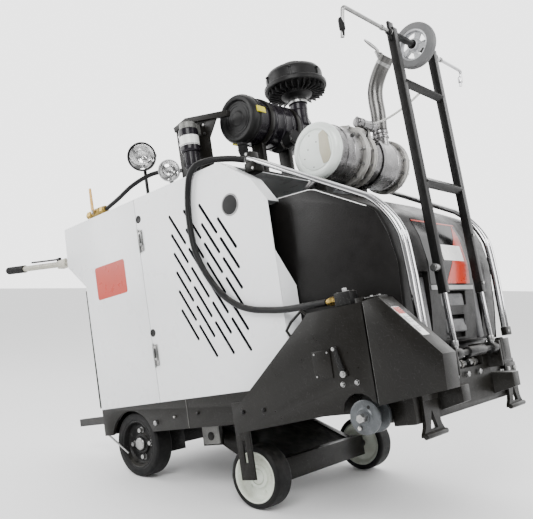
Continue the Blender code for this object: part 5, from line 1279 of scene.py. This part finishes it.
shapes.append((bolt("y", arbor, 0.0150, 0.4625, 0.4798), zinc))
piece("arbor_skin", shapes, "blade", "blade_shaft")
face = [(0, -0.3992), (0.0490, -0.3992), (0.0498, -0.401), (0.0498, -0.4105), (0.0240, -0.412),
        (0.0240, -0.451), (0.0455, -0.4525)]
face += [(0.0498, -0.4570), (0.0498, -0.4650), (0.0440, -0.4662), (0.0280, -0.4662), (0.0250, -0.4690),
         (0, -0.4695)]
flange_grey = surface("flange_grey", (0.085, 0.092, 0.098), (0.045, 0.048, 0.050), (0.28, 0.42), metal=0.6,
                      grain=(420.0, 0.14), patches=24.0, amount=0.9, scratch=0.25)
shapes = [(turned("y", arbor, rounded(face, 0.001, 2), 72), flange_grey)]
shapes.append((collar("y", arbor, 0, 0.0190, -0.4690, -0.4712, 0.0006, 40), flange_grey))
shapes.append((bolt("y", arbor, 0.0142, -0.4708, -0.4915, 0.25), zinc))
shapes.append((peg("y", (SHAFT_U - 0.018, 0, SHAFT_V - 0.028), 0.0060, -0.4738, -0.4650, 0.0015),
               ground_steel))
# The second pin hole is not cut: a thin black disc on the flange face is painted shade standing in for it.
hole = peg("y", (SHAFT_U + 0.018, 0, SHAFT_V + 0.028), 0.0050, -0.4668, -0.4655, 0.0003)
shapes.append((hole, black_plug))
piece("flange_skin", shapes, "blade", "blade_flange", keen=40.0)

# Cutting pointer: chrome rods rising from a black pivot bar, and a ladder of square black tube that
# slides on them, welded at the rungs; a caster wheel and two bent sight rods sit at its top.
TOP_V = 1.218
POINTER_U, POINTER_V, LADDER_HALF = 1.296, 0.175, 0.137


def leaning(v):
    return POINTER_U - 0.027 * (v - POINTER_V)


shapes = []
axle = [(0.0096, 0.1795), (0.0096, 0.158), (0.0176, 0.157), (0.0176, 0.118), (0.0096, 0.117),
        (0.0096, 0.061), (0.0166, 0.060)]
axle = [(0, -0.1798)] + [(r, -y) for r, y in axle] + axle[::-1] + [(0, 0.1798)]
shapes.append((turned("y", (POINTER_U, 0, POINTER_V), rounded(axle, 0.0010, 2), 40), dark_paint))
for _, side in SIDES:
    y = side * (LADDER_HALF + 0.0003)
    shapes.append((swept([(leaning(0.1697), y, 0.1697), (leaning(0.80), y, 0.80)], 0.0086, 32), chrome))
    shapes.append((collar("v", (leaning(0.205), y, 0), 0.0084, 0.0124, 0.196, 0.216, 0.0012, 32), zinc))
    shapes.append((bolt("y", (POINTER_U, 0, POINTER_V), 0.0110, *(side * 0.1570, side * 0.1795)), zinc))
piece("pivot_skin", shapes, "pointer", "pointer_pivot")

tube_black = surface("tube_black", (0.013, 0.013, 0.0125), (0.024, 0.023, 0.022), (0.26, 0.40), coat=0.10,
                     grain=(700.0, 0.08), patches=10.0, amount=0.8, scratch=0.12, dust=0.10)
shapes = [(refined("pointer_ladder", 0.0016, 3, 30.0), tube_black)]
for v in (0.723, 1.056):
    for _, side in SIDES:
        for above in (-1, 1):
            bead = [(leaning(v) - 0.010, side * 0.1235, v + above * 0.0135),
                    (leaning(v), side * 0.1240, v + above * 0.0140),
                    (leaning(v) + 0.010, side * 0.1235, v + above * 0.0135)]
            shapes.append((swept(bead, 0.0024, 8), tube_black))
for v in (0.560, 0.395):
    shapes.append((bolt("u", (0, LADDER_HALF, v), 0.0065, leaning(v) + 0.0125, leaning(v) + 0.0180), zinc))
grip = [(0, -0.1755), (0.0095, -0.1755), (0.0124, -0.1725), (0.0124, -0.1580), (0.0120, -0.1565),
        (0.0120, -0.1490)]
shapes.append((turned("y", (leaning(0.445), 0, 0.445), rounded(grip + [(0, -0.1490)], 0.0012, 3), 32), zinc))
for y in (-0.1535, 0.1500):
    shapes.append((collar("y", (leaning(TOP_V), 0, TOP_V), 0.0076, 0.0125, y, y + 0.007, 0.0008, 6), zinc))
piece("ladder_skin", shapes, "ladder", "pointer_ladder", keen=40.0)

wheel_grey = surface("wheel_grey", (0.085, 0.086, 0.088), (0.14, 0.14, 0.14), (0.45, 0.6), grain=(500.0, 0.2),
                     patches=12.0, amount=0.8)
cast_silver = surface("cast_silver", (0.52, 0.53, 0.54), (0.34, 0.34, 0.35), (0.30, 0.46), metal=0.6,
                      grain=(420.0, 0.14), patches=20.0, amount=0.8)
tip_place = (leaning(TOP_V), 0.012, TOP_V)
tread = [(0.0525, -0.0165), (0.0600, -0.0160), (0.0700, -0.0145), (0.0755, -0.0100), (0.0770, -0.0040),
         (0.0770, 0.0040)]
tread += [(0.0755, 0.0100), (0.0700, 0.0145), (0.0600, 0.0160), (0.0525, 0.0165)]
shapes = [(turned("y", tip_place, rounded(tread, 0.002, 3), 96), wheel_grey)]
rim = [(0.0470, -0.0130), (0.0535, -0.0150), (0.0535, 0.0150), (0.0470, 0.0130), (0.0455, 0.0)]
shapes.append((turned("y", tip_place, rounded(rim, 0.001, 2), 80), cast_silver))
dish = turned("y", tip_place, [(0.0115, -0.0060), (0.0480, -0.0035), (0.0480, 0.0035), (0.0115, 0.0060)], 80)
openings = []
for k in range(5):
    angle = 2 * math.pi * k / 5 + 0.35
    ring = []
    for reach, spread in ((0.0250, 0.30), (0.0425, 0.44)):
        steps = range(9) if reach < 0.03 else range(8, -1, -1)
        ring += [(tip_place[0] + reach * math.cos(angle + spread * (s / 4 - 1)),
                  tip_place[2] + reach * math.sin(angle + spread * (s / 4 - 1))) for s in steps]
    openings.append(slab("y", ring, 0.012 - 0.012, 0.012 + 0.012, 0))
shapes.append((combined(dish, openings, "DIFFERENCE"), cast_silver))
web = block((0.0155, 0.0475), (-0.0085, 0.0085), (-0.0016, 0.0016), 0.0010)
shapes.append((repeated(web, cast_silver, 5, tip_place, (0, 0, 0), (0, 2 * math.pi / 5, 0)), cast_silver))
boss = [(0.0112, -0.0189), (0.0180, -0.0189), (0.0195, -0.0160), (0.0195, 0.0160), (0.0180, 0.0189),
        (0.0112, 0.0189)]
shapes.append((turned("y", tip_place, rounded(boss, 0.001, 2), 48), cast_silver))
cover = [(0.0114, -0.0186), (0.0150, -0.0186), (0.0150, -0.0198), (0.0114, -0.0200)]
shapes.append((turned("y", tip_place, cover, 40), black_plug))
piece("caster_skin", shapes, "guide_wheel", "pointer_wheel")

for name, side, reach, fall in (("R", -1, 0.418, 0.088), ("L", 1, 0.372, 0.055)):
    top = leaning(TOP_V)
    path = [(top, side * 0.020, TOP_V), (top, side * (reach - 0.030), TOP_V),
            (top - 0.001, side * reach, TOP_V)]
    path += [(top - 0.2 * fall, side * reach, TOP_V - fall)]
    shapes = [(swept(bends(path, 0.016, 10), 0.0060, 20), zinc if side < 0 else chrome)]
    sleeve = [(0, TOP_V - 0.97 * fall), (0.0040, TOP_V - 0.97 * fall), (0.0060, TOP_V - 0.80 * fall),
              (0.0092, TOP_V - 0.74 * fall)]
    sleeve += [(0.0092, TOP_V - 0.42 * fall), (0.0068, TOP_V - 0.34 * fall), (0, TOP_V - 0.34 * fall)]
    if side < 0:
        shapes.append((turned("v", (top - 0.15 * fall, side * reach, 0), rounded(sleeve, 0.0015, 3), 32),
                       black_rubber))
    else:
        shapes.append((turned("v", (top - 0.15 * fall, side * reach, 0), rounded(sleeve, 0.0015, 3), 32),
                       chrome))
    collar = [(0.0058, side * 0.196), (0.0085, side * 0.196), (0.0085, side * 0.206), (0.0058, side * 0.206)]
    shapes.append((turned("y", (top, 0, TOP_V), rounded(collar, 0.0006, 2), 28), zinc))
    piece("sight_rod_" + name, shapes, "guide_rod_" + name, "pointer_rod_" + name)

# Handlebars: pale lacquered steel tubes that slide in the rear wall, a beige clamp on each, a ribbed
# dark rubber grip and a black hand lever lying above the grip.
lacquer = surface("lacquer", (0.36, 0.35, 0.29), (0.24, 0.23, 0.19), (0.3, 0.5), metal=0.3, coat=0.1,
                  grain=(500.0, 0.12), patches=18.0, amount=0.8, scratch=0.2)
clamp_beige = surface("clamp_beige", (0.44, 0.42, 0.35), (0.30, 0.29, 0.25), (0.36, 0.52), metal=0.35,
                      grain=(420.0, 0.16), patches=26.0, amount=0.9)
for name, side in SIDES:
    y = side * BAR_Y
    bar = [(-0.02, y, BAR_V), (-0.30, y, BAR_V), (-0.40, y, 0.822), (-0.520, y, 0.840), (-0.760, y, 0.874),
           (-0.905, y, 0.895)]
    shapes = [(swept(bends(bar, 0.05, 8), 0.0132, 28), lacquer)]
    grip = [(-0.7575, y, 0.87366), (-0.912, y, 0.896)]
    length = math.hypot(0.1545, 0.0223)
    hold = Matrix.Translation(grip[0]) @ Matrix.Rotation(math.atan2(0.0223, 0.1545), 4, "Y")
    outline = [(0, -length), (0.0140, -length), (0.0178, -length + 0.006)]
    for rib in range(18):
        start = -length + 0.010 + 0.0078 * rib
        outline += [(0.0182, start), (0.0182, start + 0.0050), (0.0170, start + 0.0058),
                    (0.0170, start + 0.0070)]
    outline += [(0.0183, -0.0050), (0.0183, -0.0006), (0, 0.0)]
    rubber = turned("u", (0, 0, 0), outline, 40)
    rubber.transform(hold)
    shapes.append((rubber, black_rubber))
    for u, v in ((-0.425, 0.8265),):
        shapes.append((block((u - 0.030, u + 0.030), (y - 0.0178, y + 0.0178), (v - 0.0180, v + 0.0180),
                             0.004, 3), clamp_beige))
        for step in (-0.016, 0.016):
            shapes.append((bolt("v", (u + step, y, 0), 0.0052, v + 0.0175, v + 0.0225), zinc))
    lever = [(-0.462, y, 0.8560), (-0.520, y, 0.8640), (-0.600, y, 0.8760), (-0.690, y, 0.8900)]
    shapes.append((swept(flowing(lever, 20), 0.0042, 14), black_plug))
    shapes.append((block((-0.474, -0.450), (y - 0.0060, y + 0.0060), (0.842, 0.862), 0.002, 2), black_plug))
    piece("handlebar_skin_" + name, shapes, "handle_" + name, "handlebar_" + name)

# Operator's panel: a black folded face with two pairs of dials behind glass, a row of capped switches,
# a yellow ring round the red stop button and a slotted boss for the speed lever.
dial_white = surface("dial_white", (0.78, 0.78, 0.76), (0.70, 0.70, 0.68), (0.35, 0.5), patches=20.0)
signal_red = surface("signal_red", (0.60, 0.012, 0.010), (0.48, 0.010, 0.008), (0.22, 0.34), coat=0.3,
                     patches=16.0)
shapes = [(refined("control_panel", 0.0012, 2, 30.0), dark_paint)]
for y in (-0.20, -0.12, 0.12, 0.20):
    hub = (0, y, 0.865)
    shapes.append((turned("u", hub, rounded([(0.0255, -0.3135), (0.0255, -0.3185), (0.0300, -0.3175),
                                             (0.0300, -0.3135)], 0.0008, 2), 48), chrome))
    shapes.append((turned("u", hub, [(0, -0.3138), (0, -0.3148), (0.0254, -0.3148), (0.0254, -0.3138)], 48),
                   dial_white))
    tick = block((-0.3152, -0.3146), (-0.0007, 0.0007), (0.0195, 0.0240), 0.0)
    turning = repeated(tick, black_plug, 9, hub, (0, 0, 0), (math.radians(30.0), 0, 0))
    shapes.append((turning, black_plug))
    shapes.append((block((-0.3158, -0.3148), (y - 0.0009, y + 0.0009), (0.863, 0.884), 0.0), signal_red))
    shapes.append((peg("u", hub, 0.0035, -0.3170, -0.3148), black_plug))
for y in (-0.22, -0.18, -0.14, 0.10, 0.14):
    shapes.append((turned("u", (0, y, 0.905), rounded([(0, -0.3225), (0.0070, -0.3225), (0.0075, -0.3190),
                                                       (0, -0.3190)], 0.0008, 2), 24), zinc))
    shapes.append((block((-0.3290, -0.3200), (y - 0.0018, y + 0.0018), (0.901, 0.9085), 0.0012), black_plug))
ring = [(0.0240, -0.3088), (0.0240, -0.3125), (0.0330, -0.3120), (0.0330, -0.3088)]
shapes.append((turned("u", (0, -0.04, 0.865), rounded(ring, 0.0008, 2), 40), clip_yellow))
for u, y, v in ((-0.3085, -0.262, 0.927), (-0.3085, 0.262, 0.927), (-0.3085, -0.262, 0.798),
                (-0.3085, 0.262, 0.798)):
    shapes.append((peg("u", (0, y, v), 0.0045, -0.3110, -0.3083), zinc))
piece("panel_skin", shapes, "chassis", "control_panel", keen=40.0)
button = [(0, -0.3398), (0.0150, -0.3390), (0.0200, -0.3360), (0.0208, -0.3320), (0.0208, -0.3280),
          (0.0185, -0.3250)]
button += [(0.0096, -0.3246), (0.0096, -0.3097), (0, -0.3097)]
shapes = [(turned("u", (0, -0.04, 0.865), rounded(button, 0.0010, 3), 48), signal_red)]
piece("stop_skin", shapes, "stop", "stop_button")
shapes = [(swept(bends([(-0.328, 0.04, 0.850), (-0.360, 0.04, 0.905), (-0.372, 0.04, 0.955)], 0.02, 8),
                 0.0044, 20), zinc)]
shapes.append((peg("y", (-0.328, 0, 0.850), 0.0074, 0.0353, 0.0447), zinc))
ball = [(0, -0.0218), (0.0080, -0.0210), (0.0145, -0.0155), (0.0168, 0.0), (0.0145, 0.0135),
        (0.0080, 0.0205), (0, 0.0218)]
shapes.append((turned("v", (-0.374, 0.04, 0.965), rounded(ball, 0.006, 4), 40), black_plug))
piece("speed_skin", shapes, "speed", "speed_lever")

# Door latches: a pressed steel pull tab on a hinge pin, with a slot down it drawn as a thin black strip of
# painted shade, and two rivets.
for name, v, body in (("upper", 0.777, "latch_top"), ("lower", 0.332, "latch_bottom")):
    plate = [(0.2005, v - 0.0415), (0.2215, v - 0.0415), (0.2215, v + 0.0415), (0.2005, v + 0.0415)]
    tab = slab("y", [(u, w) for u, w in eased(plate, 0.004)], -0.3925, -0.3898, 0.0006)
    shapes = [(tab, zinc)]
    shapes.append((block((0.2035, 0.2185), (-0.3968, -0.3920), (v - 0.020, v + 0.034), 0.0018, 3), zinc))
    # The slot is not cut: a thin black strip on the tab is painted shade standing in for it.
    shapes.append((block((0.2060, 0.2160), (-0.3970, -0.3960), (v - 0.010, v + 0.026), 0.0002), black_plug))
    shapes.append((peg("v", (0.200, -0.3935, 0), 0.0036, v - 0.0458, v + 0.0458), zinc))
    for step in (-0.033, 0.0375):
        shapes.append((peg("y", (0.2135, 0, v + step), 0.0028, -0.3945, -0.3922), raw_steel))
    piece("latch_skin_" + name, shapes, body, "latch_" + name)
